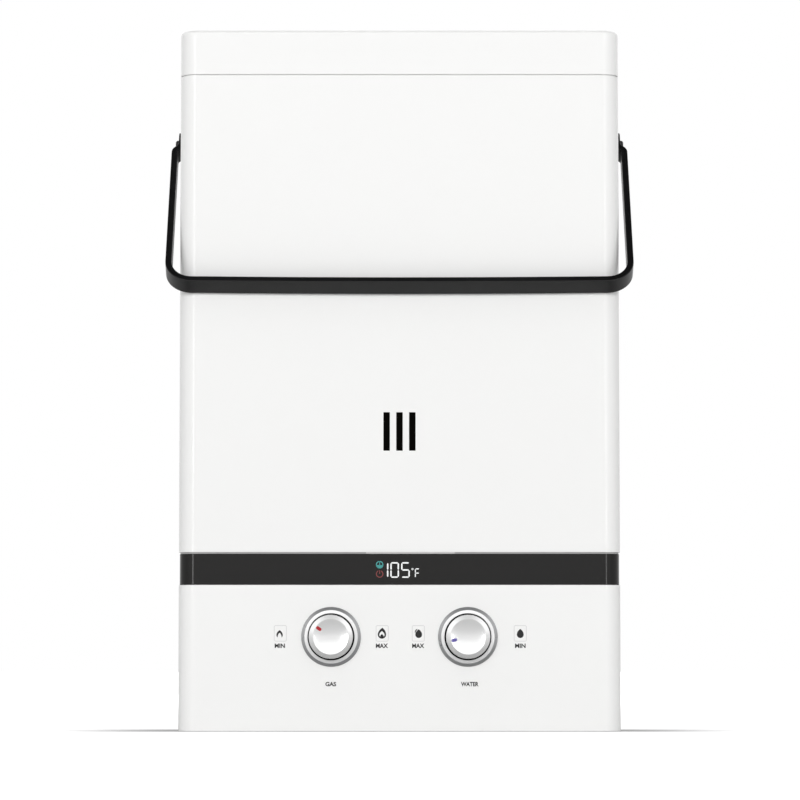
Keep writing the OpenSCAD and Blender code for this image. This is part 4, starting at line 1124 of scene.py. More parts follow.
    def lower_shell(self) -> None:
        """Builds the moulded lower shell with its floor, air slots and openings."""
        low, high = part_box("lower_shell")
        low.z -= self.skirt
        piece = self.wrap("panel_shell", low, high, self.mould_t, floor=True)
        tools = [rod("bezel_tool", self.bezel_hole_r, -5 * self.mould_t, self.mould_t,
                     joint_place(name), 64) for name in ("gas_knob_turn", "water_knob_turn")]
        cut(piece, tools + self.floor_tools(low))
        soften(piece, self.edge_r)
        deliver(piece, Slot.PLASTIC, ["lower_shell"])

    def floor_tools(self, low: Vector) -> list[Piece]:
        """Builds the shapes that the floor's holes are cut with.

        Args:
            low: Lowest corner of the lower shell.

        Returns:
            Shapes for the air slots, the feet's stems and the drain.
        """
        gas = joint_place("gas_knob_turn")
        tools = []
        for index in range(self.air_count):
            x = gas.x + (index - (self.air_count - 1) / 2) * self.air_pitch
            tool = capsule("air_tool", self.air_l, self.air_w, 8 * self.mould_t)
            tools.append(move(tool, (x, self.air_y, low.z), QUARTER_X))
        drain = sum(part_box("drain_plug"), Vector()) / 2
        places = [(drain.x, drain.y, self.drain_hole_r)]
        foot_low, foot_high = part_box("rubber_feet")
        places += [(x, y, self.foot_hole_r)
                   for x in (foot_low.x + self.foot_r, foot_high.x - self.foot_r)
                   for y in (foot_low.y + self.foot_r, foot_high.y - self.foot_r)]
        for x, y, radius in places:
            tool = rod("hole_tool", radius, -self.hole_reach, self.hole_reach)
            tools.append(move(tool, (x, y, low.z), QUARTER_X))
        return tools

    def build(self) -> None:
        """Builds every shell of the casing."""
        self.front_shell()
        self.top_cap()
        self.display_band()
        self.trim_strip()
        self.lower_shell()


# ---------------------------------------------------------------- handle


@dataclass
class Handle:
    """The flat steel bail: two arms with a sideways step, and a slightly bowed grip bar."""

    width: float = 14.5 * MM
    thickness: float = 5 * MM
    edge_r: float = 1.5 * MM
    bevel_r: float = 0.6 * MM
    arm_len: float = 154.6 * MM
    eye_reach: float = 3.2 * MM
    eye_gap: float = 0.5 * MM
    step: float = 5.3 * MM
    step_r: float = 5 * MM
    step_start: float = 5 * MM
    bend_r: float = 18.5 * MM
    bow: float = 1.2 * MM
    bow_steps: int = 4
    hole_r: float = 2.65 * MM
    rest_gap: float = 0.4 * MM
    turn_steps: int = 5
    bend_steps: int = 14

    def arm_x(self) -> float:
        """Distance of each arm's middle from the middle plane."""
        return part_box("front_shell")[1].x + self.eye_gap + self.thickness / 2 + self.step

    def rest_angle(self) -> float:
        """Works out how far the arms lean forward where the bar meets the flat front.

        Returns:
            The angle in radians.
        """
        low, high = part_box("front_shell")
        depth = joint_place("handle_swing").y - low.y + self.rest_gap + self.edge_r
        flat_end = (high.x - Casing.corner_r) / (self.arm_x() - self.bend_r)
        reach = (self.arm_len - self.bow * flat_end ** 2 - self.thickness / 2 + self.edge_r)
        half = self.width / 2 - self.edge_r
        return math.asin(depth / math.hypot(reach, half)) + math.atan2(half, reach)

    def half(self) -> Piece:
        """Builds the right half, hanging straight down from a pivot at the origin.

        Returns:
            The half, open at the middle of the grip bar.
        """
        arm_x = self.arm_x()
        eye_x = arm_x - self.step
        turn = math.radians(45)
        straight = (self.step - 2 * self.step_r * (1 - math.cos(turn))) / math.sin(turn)
        step_len = 2 * self.step_r * math.sin(turn) + straight * math.cos(turn)
        grip_z = -self.arm_len
        clear_selection()
        bpy.ops.mesh.primitive_plane_add(size=1, location=(0, 0, grip_z),
                                         rotation=(0, math.pi / 2, 0))
        piece = bpy.context.object
        piece.scale = (self.thickness, self.width, 1)
        settle(piece)
        edit_all(piece, "FACE")
        reach = arm_x - self.bend_r
        for step in range(self.bow_steps):
            rise = self.bow * ((step + 1) ** 2 - step ** 2) / self.bow_steps ** 2
            extrude(reach / self.bow_steps, 0, rise)
        corner_z = grip_z + self.bow + self.bend_r
        self.spin((reach, 0, corner_z), -90, self.bend_steps)
        arm_rise = self.arm_len - self.bow - self.bend_r - self.step_start - step_len
        extrude(0, 0, arm_rise)
        z = -(self.step_start + step_len)
        self.spin((arm_x - self.step_r, 0, z), -45, self.turn_steps)
        rise = straight * math.cos(turn)
        extrude(-rise, 0, rise)
        self.spin((eye_x + self.step_r, 0, -self.step_start), 45, self.turn_steps)
        top = self.step_start + self.eye_reach + self.width / 2
        extrude(0, 0, top)
        leave_edit()
        open_faces(piece, lambda c, n: abs(n.x) > 0.99 and abs(c.x) < MM / 10)
        mend(piece)
        crest = self.eye_reach + self.width / 2
        round_edges(piece, lambda a, b: min(a.z, b.z) > crest - MM / 10
                    and abs(a.x - b.x) > self.thickness / 2, self.width / 2 * 0.985, 10)
        deep = 2 * self.thickness
        hole = rod("pivot_tool", self.hole_r, -eye_x - deep, -eye_x + deep)
        cut(piece, [move(hole, (0, 0, 0), QUARTER_Z)])
        return piece

    def spin(self, centre: Sequence[float], degrees: float, steps: int) -> None:
        """Turns the chosen end of the strap round a centre, in edit mode.

        Args:
            centre: Centre of the bend.
            degrees: Angle of the bend about +Y.
            steps: Faces along it.
        """
        bpy.ops.mesh.spin(steps=steps, angle=math.radians(-degrees), center=centre,
                          axis=(0, 1, 0))

    def build(self) -> None:
        """Builds the handle in its rest on the front."""
        piece = self.half()
        apply_modifier(piece, "MIRROR", use_axis=(True, False, False), use_clip=True,
                       merge_threshold=0.01 * MM)
        piece.name = "bail_handle"
        mend(piece, 0.005 * MM)
        soften(piece, self.bevel_r, 4, 50)
        move(piece, joint_place("handle_swing"), Matrix.Rotation(-self.rest_angle(), 4, "X"))
        deliver(piece, Slot.HANDLE, ["carry_handle"], Body.HANDLE, angle=30)


# ---------------------------------------------------------------- controls


@dataclass
class Mark:
    """A coloured pointer on a knob's dish."""

    name: str
    finish: Finish
    angle: float


@dataclass
class Knob:
    """A satin knob with a sloping ring and a dished face, its bezel and its pointer mark."""

    joint: str
    body: Body
    knob_node: str
    bezel_node: str
    mark: Mark
    radius: float = 17 * MM
    out: float = 17 * MM
    start: float = 0.6 * MM
    slope_h: float = 1.4 * MM
    dish_r: float = 13.5 * MM
    dish_depth: float = 1.6 * MM
    dish_steps: int = 12
    rim: float = 0.2 * MM
    wall: float = 1.8 * MM
    wall_depth: float = 4 * MM
    bevel: float = 0.3 * MM
    gap: float = 1.15 * MM
    bezel_w: float = 5 * MM
    bezel_out: float = 2.4 * MM
    grey_w: float = 2.45 * MM
    bezel_sink: float = 0.4 * MM
    neck_w: float = 1.8 * MM
    well_depth: float = 6 * MM
    well_floor: float = 1.5 * MM
    spindle_gap_r: float = 3.6 * MM
    mark_mid: float = 11.1 * MM
    mark_len: float = 4.7 * MM
    mark_wide: float = 2.6 * MM
    mark_t: float = 0.3 * MM
    mark_sink: float = 0.1 * MM

    def ball_r(self) -> float:
        """Radius of the sphere that the dish is a part of."""
        return (self.dish_r ** 2 + self.dish_depth ** 2) / (2 * self.dish_depth)

    def dish_out(self, radius: float) -> float:
        """Height of the dish over the panel at a distance from the axis."""
        ball = self.ball_r()
        return self.out - self.dish_depth + ball - math.sqrt(ball ** 2 - radius ** 2)

    def cap(self) -> None:
        """Builds the knob from a turned profile."""
        bevel = self.bevel
        shoulder = self.out - self.slope_h
        rings: list[Ring] = [(self.radius - self.wall, self.start + self.wall_depth),
                             (self.radius - self.wall, self.start),
                             (self.radius - bevel, self.start),
                             (self.radius, self.start + bevel),
                             (self.radius, shoulder - bevel),
                             (self.radius - 0.06 * MM, shoulder - 0.1 * MM),
                             (self.radius - bevel, shoulder + 0.12 * MM),
                             (self.dish_r + self.rim, self.out)]
        for step in range(self.dish_steps + 1):
            radius = self.dish_r * (1 - step / self.dish_steps)
            rings.append((radius, self.dish_out(radius)))
        piece = turned(f"{self.knob_node}_cap", rings, joint_place(self.joint), sides=128)
        deliver(piece, Slot.PLASTIC, [self.knob_node], self.body, KNOB_FACE.material(), 14)

    def bezel(self) -> None:
        """Builds the bright inner ring, the grey outer ring and the well round the knob, whose near-black colour
        is painted shade in the gap.
        """
        centre = joint_place(self.joint)
        inner = self.radius + self.gap
        outer = inner + self.bezel_w
        crest = outer - self.grey_w
        neck = inner + self.neck_w
        top, sink = self.bezel_out, -self.bezel_sink
        floor = self.well_floor - self.well_depth
        bright = turned(f"{self.bezel_node}_bright", [
            (inner, sink), (crest, sink), (crest, top - 0.12 * MM),
            (crest - 0.12 * MM, top), (inner + 0.35 * MM, top + 0.3 * MM),
            (inner + 0.1 * MM, top + 0.22 * MM), (inner, top), (inner, sink)],
            centre, sides=128)
        grey = turned(f"{self.bezel_node}_grey", [
            (crest, 0), (outer, 0), (outer, 0.45 * MM), (outer - 0.15 * MM, 0.7 * MM),
            (crest + 0.1 * MM, top - 0.2 * MM), (crest, top - 0.3 * MM), (crest, 0)],
            centre, sides=128)
        well = turned(f"{self.bezel_node}_well", [
            (self.spindle_gap_r, -self.well_depth), (neck, -self.well_depth), (neck, sink),
            (inner - 0.02 * MM, sink), (inner - 0.02 * MM, top - 0.9 * MM),
            (inner - 0.3 * MM, top - 0.9 * MM), (inner - 0.3 * MM, floor),
            (self.spindle_gap_r, floor), (self.spindle_gap_r, -self.well_depth)],
            centre, sides=96)
        deliver(bright, Slot.CHROME, [self.bezel_node], material=BEZEL_BRIGHT.material(),
                angle=28)
        deliver(grey, Slot.CHROME, material=BEZEL_GREY.material(), angle=28)
        # The well's near-black is painted shade in the gap round the knob.
        deliver(well, Slot.BLACK, material=BEZEL_SHADE_WELL.material())

    def pointer(self) -> None:
        """Builds the coloured mark that lies on the dish."""
        piece = capsule(self.mark.name, self.mark_len, self.mark_wide, self.mark_t, 5)
        soften(piece, 0.08 * MM, 2)
        slope = math.asin(self.mark_mid / self.ball_r())
        lift = self.dish_out(self.mark_mid) - self.mark_sink
        move(piece, joint_place(self.joint),
             Matrix.Rotation(math.radians(90 - self.mark.angle), 4, "Y"),
             Matrix.Translation((0, -lift, self.mark_mid)), Matrix.Rotation(slope, 4, "X"))
        deliver(piece, Slot.PLASTIC, body=self.body, material=self.mark.finish.material())

    def build(self) -> None:
        """Builds the knob, its bezel and its mark."""
        self.cap()
        self.bezel()
        self.pointer()


class Word(Enum):
    """The plain words on the panel: text, middle in x and z, and width, in millimetres."""

    GAS_LOW = ("MIN", -92.7, 66.1, 7.9)
    GAS_HIGH = ("MAX", -13.6, 66.1, 9.4)
    WATER_HIGH = ("MAX", 14.5, 66.1, 9.4)
    WATER_LOW = ("MIN", 93.6, 66.1, 8.2)
    GAS = ("GAS", -53.2, 36.5, 8.3)
    WATER = ("WATER", 54.4, 36.5, 13.6)


Drop = tuple[float, float, float, float, float]


class Symbol(Enum):
    """The panel's pictograms: their drops, a hollow drop, and the width of a gap at the foot.

    A drop is its middle in x, its foot in z, its width and its height, in millimetres, and how
    far its tip leans sideways, as a share of the width. The hollow is cut out of the first
    drop, or, for the pair of drops, out of the last.
    """

    DROP_SINGLE = (((93.6, 72.1, 5.3, 7.0, 0.0),), None, 0.0)
    FLAME_SMALL = (((-92.9, 72.0, 4.9, 6.2, 0.0),), (-92.9, 71.4, 3.1, 4.8, 0.0), 2.4)
    FLAME_LARGE = (((-13.6, 71.6, 6.4, 8.4, 0.06), (-13.6, 71.7, 2.8, 3.4, 0.0)),
                   (-13.6, 72.5, 4.0, 4.9, 0.0), 0.0)
    DROP_PAIR = (((14.9, 72.1, 5.2, 6.7, 0.0), (13.1, 75.6, 2.5, 3.6, 0.2)),
                 (15.0, 71.2, 6.2, 8.4, 0.0), 0.0)


@dataclass
class PanelPrint:
    """Printed words and pictograms on the lower shell."""

    ink: Finish = print_finish("panel_ink", shown(14, 14, 15))
    line: Finish = print_finish("panel_line", shown(214, 214, 214))
    thickness: float = 0.12 * MM
    cap_h: float = 3.4 * MM
    stroke_add: float = 0.036
    box_x: tuple[float, ...] = (-92.3 * MM, -13.4 * MM, 14.6 * MM, 93.6 * MM)
    box_w: float = 9.9 * MM
    box_h: float = 12.5 * MM
    box_r: float = 1.4 * MM
    box_line: float = 0.4 * MM
    box_z: float = 75.7 * MM

    def front(self) -> float:
        """Place of the panel's face."""
        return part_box("lower_shell")[0].y

    def word(self, word: Word, material: Material) -> None:
        """Sets one word flat on the panel, and fits it to its width and height.

        Args:
            word: The word and its place.
            material: Its ink.
        """
        label, x, z, width = word.value
        clear_selection()
        bpy.ops.object.text_add(location=(0, 0, 0))
        piece = bpy.context.object
        piece.name = f"word_{word.name.lower()}"
        piece.data.body = label
        piece.data.size = 1.0
        piece.data.offset = self.stroke_add
        piece.data.resolution_u = 4
        piece.data.extrude = 0.01
        bpy.ops.object.convert(target="MESH")
        low, high = span(piece)
        size = high - low
        fit = Matrix.Diagonal((width * MM / size.x, self.cap_h / size.y,
                               self.thickness / size.z, 1))
        move(piece, (x * MM, self.front(), z * MM), QUARTER_X, fit,
             Matrix.Translation(-(low + high) / 2))
        deliver(piece, Slot.PLASTIC, material=material)

    def frame_box(self, name: str, x: float, material: Material) -> None:
        """Builds the thin rounded outline round a pictogram.

        Args:
            name: Name of the piece.
            x: Place of its middle.
            material: Its ink.
        """
        half = Vector((self.box_w, self.thickness, self.box_h)) / 2
        middle = Vector((x, self.front(), self.box_z))
        outer = prism(name, middle - half, middle + half, self.box_r, 5)
        half -= Vector((self.box_line, -MM, self.box_line))
        cut(outer, [prism("line_tool", middle - half, middle + half,
                          self.box_r - self.box_line, 5)])
        deliver(outer, Slot.PLASTIC, material=material)

    def drop(self, name: str, shape: Drop, depth: float) -> Piece:
        """Builds a drop: a disc whose upper half is drawn out to a tip.

        Args:
            name: Name of the shape.
            shape: Its form and place.
            depth: Its thickness from front to back.

        Returns:
            The shape, on the panel's face.
        """
        x, foot, width, height = (value * MM for value in shape[:4])
        radius = width / 2
        piece = rod(name, radius, -depth / 2, depth / 2, sides=48)
        for point in piece.data.vertices:
            rise = min(max(point.co.z / radius, 0.0), 1.0)
            point.co.x = point.co.x * (1 - rise ** 2) ** 0.4 + shape[4] * width * rise ** 2
            if rise:
                point.co.z = rise * (height - radius)
        return move(piece, (x, self.front(), foot + radius))

    def symbol(self, symbol: Symbol, material: Material) -> None:
        """Builds one pictogram.

        Args:
            symbol: The pictogram.
            material: Its ink.
        """
        name = symbol.name.lower()
        drops, hollow, gap = symbol.value
        parts = [self.drop(name, shape, self.thickness) for shape in drops]
        tools = [self.drop("hollow_tool", hollow, 2 * MM)] if hollow else []
        if gap:
            middle = Vector((drops[0][0] * MM, self.front(), drops[0][1] * MM))
            half = Vector((gap / 2, 1, 1)) * MM
            tools.append(block("gap_tool", middle - half, middle + half))
        cut(parts[-1 if symbol is Symbol.DROP_PAIR else 0], tools)
        deliver(join(name, parts), Slot.PLASTIC, material=material)

    def build(self) -> None:
        """Builds every word and pictogram of the panel."""
        ink, line = self.ink.material(), self.line.material()
        for word in Word:
            self.word(word, ink)
        for index, x in enumerate(self.box_x):
            self.frame_box(f"box_{index + 1}", x, line)
        for symbol in Symbol:
            self.symbol(symbol, ink)


# ---------------------------------------------------------------- display


SEGMENTS: dict[str, str] = {"1": "bc", "0": "abcdef", "5": "acdfg", "F": "aefg"}
# Each sign of the readout with its left edge, width, height and stroke, in millimetres.
SIGNS: tuple[tuple[str, float, float, float, float], ...] = (
    ("1", -9.7, 1.08, 12.1, 1.08), ("0", -7.1, 6.7, 12.1, 1.08), ("5", 1.3, 6.7, 12.1, 1.08),
    ("F", 11.9, 3.8, 7.3, 0.8))


@dataclass
class Display:
    """The lit temperature readout and the two small symbols behind the dark band."""

    digit_light: Finish = print_finish("readout_light", shown(244, 246, 246), light=0.12)
    flow_light: Finish = print_finish("flow_light", shown(66, 150, 148), light=0.15)
    power_light: Finish = print_finish("power_light", shown(118, 52, 50), light=0.2)
    middle_z: float = 124.8 * MM
    digit_h: float = 12.1 * MM
    point_share: float = 0.48
    thickness: float = 0.16 * MM
    gap: float = 0.3 * MM
    sign_x: float = -15.4 * MM
    sign_r: float = 2.9 * MM
    sign_line: float = 0.75 * MM
    mast_w: float = 0.64 * MM
    pool_share: float = 0.8
    degree_r: float = 0.75 * MM
    degree_line: float = 0.4 * MM
    degree_x: float = 10.1 * MM
    degree_rise: float = 0.7 * MM
    flow_z: float = 128.9 * MM
    power_z: float = 121.7 * MM

    def front(self) -> float:
        """Place of the band's face."""
        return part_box("display_band")[0].y

    def digit(self, sign: str, *sizes: float) -> Piece:
        """Builds one sign of the readout.

        Args:
            sign: The sign, one of the keys of SEGMENTS.
            sizes: Its left edge, width, height and stroke, in millimetres.

        Returns:
            The piece.
        """
        left, width, height, stroke = (size * MM for size in sizes)
        bottom = self.middle_z - self.digit_h / 2
        half_h = (height - stroke) / 2
        across = width - stroke
        middle = left + width / 2
        right_x, left_x = left + width - stroke / 2, left + stroke / 2
        low, mid, top = (bottom + stroke / 2 + k * half_h for k in (0, 1, 2))
        places = {
            "a": (middle, top, False), "g": (middle, mid, False), "d": (middle, low, False),
            "b": (right_x, (mid + top) / 2, True), "c": (right_x, (low + mid) / 2, True),
            "f": (left_x, (mid + top) / 2, True), "e": (left_x, (low + mid) / 2, True)}
        parts = []
        for key in SEGMENTS[sign]:
            x, z, upright = places[key]
            length = (half_h if upright else across) - self.gap
            half = Vector((length, self.thickness, stroke)) / 2
            part = prism(f"segment_{key}", -half, half, stroke * self.point_share, 1)
            parts.append(move(part, (x, self.front(), z), *([QUARTER_Y] if upright else [])))
        return join(f"readout_{sign}", parts)

    def loop(self, name: str, radius: float, stroke: float, x: float,
             z: float) -> Piece:
        """Builds a flat ring on the band's face.

        Args:
            name: Name of the ring.
            radius: Its outer radius.
            stroke: Width of its line.
            x: Place of its middle.
            z: Height of its middle.

        Returns:
            The ring.
        """
        t = self.thickness / 2
        return turned(name, [(radius - stroke, -t), (radius, -t), (radius, t),
                             (radius - stroke, t), (radius - stroke, -t)],
                      (x, self.front(), z), sides=32)

    def power_sign(self) -> Piece:
        """Builds the power symbol: an open ring with an upright stroke.

        Returns:
            The piece.
        """
        x, y, z = self.sign_x, self.front(), self.power_z
        ring = self.loop("power_ring", self.sign_r, self.sign_line, x, z)
        cut(ring, [block("notch_tool", (x - MM, y - MM, z + 0.8 * MM),
                         (x + MM, y + MM, z + 2 * self.sign_r))])
        return join("power_sign", [ring, self.mast("power_mast", z, z + self.sign_r)])

    def flow_sign(self) -> Piece:
        """Builds the flow symbol: a ring that is filled in its lower half, with a stroke.

        Returns:
            The piece.
        """
        x, y, z = self.sign_x, self.front(), self.flow_z
        ring = self.loop("flow_ring", self.sign_r, self.sign_line, x, z)
        pool = rod("flow_pool", self.sign_r * self.pool_share, -self.thickness / 2,
                   self.thickness / 2, (x, y, z))
        cut(pool, [block("pool_tool", (x - self.sign_r, y - MM, z - 0.3 * MM),
                         (x + self.sign_r, y + MM, z + self.sign_r))])
        return join("flow_sign", [ring, pool, self.mast("flow_mast", z - MM, z + self.sign_r)])

    def mast(self, name: str, low: float, high: float) -> Piece:
        """Builds the upright stroke of a symbol.

        Args:
            name: Name of the stroke.
            low: Height of its foot.
            high: Height of its head.

        Returns:
            The stroke.
        """
        half = Vector((self.mast_w, self.thickness, high - low)) / 2
        middle = Vector((self.sign_x, self.front(), (low + high) / 2))
        return bar(name, middle - half, middle + half, 0.04 * MM, 1)

    def build(self) -> None:
        """Builds the readout and the symbols."""
        light = self.digit_light.material()
        signs = [self.digit(*row) for row in SIGNS]
        signs.append(self.loop("readout_degree", self.degree_r, self.degree_line, self.degree_x,
                               self.middle_z + self.degree_rise))
        for sign in signs:
            deliver(sign, Slot.GLOSSY, material=light)
        deliver(self.flow_sign(), Slot.GLOSSY, material=self.flow_light.material())
        deliver(self.power_sign(), Slot.GLOSSY, material=self.power_light.material())


# ---------------------------------------------------------------- rear


def solid_places(node: str) -> list[Vector]:
    """Finds the middle of each separate solid of a CAD node.

    Args:
        node: Name of the node.

    Returns:
        The middles of the solids' boxes.
    """
    twin = copy_of(frame["nodes"][node])
    mend(twin)
    edit_all(twin, "FACE")
    bpy.ops.mesh.separate(type="LOOSE")
    leave_edit()
    places = []
    for part in list(bpy.context.selected_objects):
        places.append(sum(span(part), Vector()) / 2)
        bpy.data.objects.remove(part)
    return places


@dataclass
class BackPanel:
    """The rear sheet: rows of hooded louvres, keyholes, and openings for hoses and cells."""

    sheet_t: float = 1.2 * MM
    corner_r: float = 2 * MM
    edge_r: float = 0.25 * MM
    bay_low: tuple[float, float] = (-82 * MM, 12 * MM)
    bay_high: tuple[float, float] = (68 * MM, 62 * MM)
    door_gap: float = 0.4 * MM
    louvre_rows: int = 8
    louvre_columns: int = 3
    louvre_pitch: float = 12 * MM
    louvre_l: float = 70 * MM
    louvre_h: float = 5 * MM
    louvre_gap: float = 18 * MM
    louvre_rise: float = 10 * MM
    hood_h: float = 7.2 * MM
    hood_out: float = 1.8 * MM
    hood_t: float = 0.7 * MM
    key_x: float = 60 * MM
    key_r: float = 5 * MM
    key_slot_r: float = 2.5 * MM
    key_len: float = 10 * MM
    key_drop: float = 35 * MM

    def hood(self, face: float) -> Piece:
        """Builds one louvre's hood, open below, with its opening's middle at the origin.

        Args:
            face: Place of the panel's outer face.

        Returns:
            The hood.
        """
        half = self.louvre_l / 2 + MM
        foot = -self.louvre_h / 2
        piece = block("louvre_hood", (-half, face - self.sheet_t / 2, foot),
                      (half, face + self.hood_out, foot + self.hood_h))
        pick_edges(piece, lambda a, b: min(a.z, b.z) > foot + self.hood_h / 2
                   and min(a.y, b.y) > face)
        bpy.ops.transform.translate(value=(0, -self.hood_out * 0.9, 0))
        leave_edit()
        round_edges(piece, lambda a, b: min(a.y, b.y) > face and abs(a.x - b.x) > half, MM, 3)
        open_faces(piece, lambda c, n: n.z < -0.9 or n.y < -0.9)
        round_edges(piece, lambda a, b: abs(a.x - b.x) < MM / 10 and abs(a.x) > half * 0.99
                    and max(a.y, b.y) > face, MM, 3)
        thicken(piece, self.hood_t)
        return piece

    def keyhole(self, x: float, y: float, z: float) -> Piece:
        """Builds the shape of one keyhole: a round hole with a slot over it.

        Args:
            x: Place of the round hole's middle.
            y: Place of the panel's outer face.
            z: Height of the round hole's middle.

        Returns:
            The shape.
        """
        tool = rod("key_tool", self.key_r, -3 * self.sheet_t, 3 * self.sheet_t, (x, y, z), 40)
        slot = capsule("key_slot", self.key_len + 2 * self.key_slot_r, 2 * self.key_slot_r,
                       6 * self.sheet_t)
        move(slot, (x, y, z + self.key_len / 2))
        cut(tool, [slot], "UNION")
        return tool

    def build(self) -> None:
        """Builds the panel with its hoods."""
        low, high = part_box("back_panel")
        door_low, door_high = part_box("battery_door")
        box_low, box_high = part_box("battery_box")
        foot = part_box("front_shell")[0].z + self.louvre_rise
        deep = 3 * self.sheet_t
        piece = prism("rear_sheet", low, high, self.corner_r, 5)
        tools = [
            block("bay_tool", (self.bay_low[0], low.y - deep, self.bay_low[1]),
                  (self.bay_high[0], high.y + deep, self.bay_high[1])),
            block("door_tool", (box_low.x - self.door_gap, low.y - deep,
                                door_low.z - self.door_gap),
                  (box_high.x + self.door_gap, high.y + deep, door_high.z + self.door_gap))]
        tools += [self.keyhole(side * self.key_x, high.y, high.z - self.key_drop)
                  for side in (-1, 1)]
        places = [Vector((
            (column - (self.louvre_columns - 1) / 2) * (self.louvre_l + self.louvre_gap), 0,
            foot + row * self.louvre_pitch))
            for column in range(self.louvre_columns) for row in range(self.louvre_rows)]
        for place in places:
            tool = capsule("louvre_tool", self.louvre_l, self.louvre_h, 2 * deep)
            tools.append(move(tool, (place.x, high.y, place.z), QUARTER_Y))
        cut(piece, [join("panel_tools", tools)])
        soften(piece, self.edge_r)
        hood = self.hood(high.y)
        hoods = [copy_of(hood, place) for place in places]
        bpy.data.objects.remove(hood)
        deliver(join("rear_sheet", [piece, *hoods]), Slot.SHEET, ["back_panel"], angle=30)


@dataclass
class PanScrews:
    """Equal pan-head screws with a cross recess, on the rear of the case."""

    node: str = "case_screws"
    head_r: float = 3.6 * MM
    head_h: float = 2 * MM
    rim_share: float = 0.6
    recess_share: float = 0.58
    recess_w: float = 0.9 * MM
    recess_depth: float = 1.1 * MM

    def head(self) -> Piece:
        """Builds one screw's head, which faces the rear from the origin.

        Returns:
            The head.
        """
        rim = self.head_h * self.rim_share
        piece = turned("screw_head", [
            (self.head_r, -0.5 * MM), (self.head_r, rim), (self.head_r * 0.95, rim + 0.3 * MM),
            (self.head_r * 0.82, self.head_h - 0.16 * MM), (self.head_r * 0.6, self.head_h),
            (0, self.head_h)], sides=36)
        reach = self.head_r * self.recess_share
        tools = []
        for across, up in ((reach, self.recess_w / 2), (self.recess_w / 2, reach)):
            tools.append(block("recess_tool", (-across, -self.head_h - OVER, -up),
                               (across, self.recess_depth - self.head_h, up)))
        cut(piece, tools)
        soften(piece, 0.07 * MM, 1)
        return move(piece, (0, 0, 0), TO_REAR)

    def build(self) -> None:
        """Builds every screw of the node."""
        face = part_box("back_panel")[1].y
        head = self.head()
        heads = [copy_of(head, (place.x, face, place.z))
                 for place in solid_places(self.node)]
        bpy.data.objects.remove(head)
        deliver(join("rear_screws", heads), Slot.ZINC, [self.node])


@dataclass
class HoseFitting:
    """A brass hose fitting: hexagon, outer thread and bore, facing the rear."""

    name: str
    mount: str
    node: str = "water_fittings"
    thread_r: float = 10.475 * MM
    hex_r: float = 15.6 * MM
    bore_r: float = 7 * MM
    pitch: float = 1.8 * MM
    hex_h: float = 6 * MM
    thread_len: float = 14 * MM
    lead: float = 1 * MM
    shank_r: float = 8.2 * MM

    def place(self) -> Vector:
        """Finds where the fitting's axis meets the bay's panel.

        Returns:
            The place in the row frame.
        """
        place = joint_place(self.mount, frame["record"]["mounts"])
        place.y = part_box(self.node)[1].y - self.thread_len - self.hex_h
        return place

    def build(self) -> Piece:
        """Builds the fitting.

        Returns:
            The fitting, not yet delivered.
        """
        place = self.place()
        shank = place.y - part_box(self.node)[0].y
        top = self.hex_h + self.thread_len
        root = self.thread_r - 0.5 * self.pitch
        rings: list[Ring] = [(self.bore_r, -shank), (self.shank_r, -shank),
                             (self.shank_r, 0.0), (root, self.hex_h + 0.4 * self.pitch)]
        count = int((self.thread_len - self.lead) / self.pitch)
        for turn in range(count):
            out = self.hex_h + (turn + 0.6) * self.pitch
            rings += [(self.thread_r, out + 0.25 * self.pitch),
                      (self.thread_r, out + 0.4 * self.pitch), (root, out + 0.8 * self.pitch)]
        rings += [(root, top - 0.2 * MM), (root - 0.3 * MM, top),
                  (self.bore_r + 0.4 * MM, top), (self.bore_r, top - 0.4 * MM),
                  (self.bore_r, -shank)]
        tube = turned(self.name, rings, sides=48)
        nut = turned("hexagon", [
            (root, 0.0), (self.hex_r - 0.7 * MM, 0.0), (self.hex_r, 0.6 * MM),
            (self.hex_r, self.hex_h - 0.6 * MM), (self.hex_r - 0.7 * MM, self.hex_h),
            (root, self.hex_h), (root, 0.0)], sides=6)
        return move(join(self.name, [tube, nut]), place, TO_REAR)


@dataclass
class BatteryDoor:
    """The hinged door over the cells, with a nail recess and fine grip ribs."""

    thickness: float = 3.2 * MM
    pin_len: float = 2.3 * MM
    pin_r: float = 1 * MM
    nail: tuple[float, float, float] = (22 * MM, 2 * MM, 3 * MM)
    rib_count: int = 6
    rib_pitch: float = 2.2 * MM
    rib_r: float = 0.4 * MM
    rib_sink: float = 0.3 * MM
    rib_out: float = 0.35 * MM

    def build(self) -> None:
        """Builds the door, closed."""
        low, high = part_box("battery_door")
        middle = (low.x + high.x) / 2
        axis = Vector((middle, high.y - self.thickness / 2, low.z + self.thickness / 2))
        plate = bar("cell_door", (low.x + self.pin_len, high.y - self.thickness, axis.z),
                    (high.x - self.pin_len, high.y, high.z), 0.4 * MM)
        nail_z = high.z - 2 * self.nail[2]
        nail = Vector(self.nail) / 2
        place = Vector((middle, high.y, nail_z))
        cut(plate, [bar("nail_tool", place - nail, place + nail, 0.3 * MM)])
        parts = [plate]
        for index in range(self.rib_count):
            z = nail_z - self.nail[2] - index * self.rib_pitch
            parts.append(bar("grip_rib", (middle - nail.x, high.y - self.rib_sink, z - self.rib_r),
                             (middle + nail.x, high.y + self.rib_out, z + self.rib_r),
                             self.rib_r / 2, 2))
        for radius, reach in ((self.thickness / 2, plate.dimensions.x / 2),
                              (self.pin_r, (high.x - low.x) / 2)):
            barrel = rod("hinge_barrel", radius, -reach, reach)
            parts.append(move(barrel, axis, QUARTER_Z))
        deliver(join("cell_door", parts), Slot.PLASTIC, ["battery_door"], Body.HATCH)


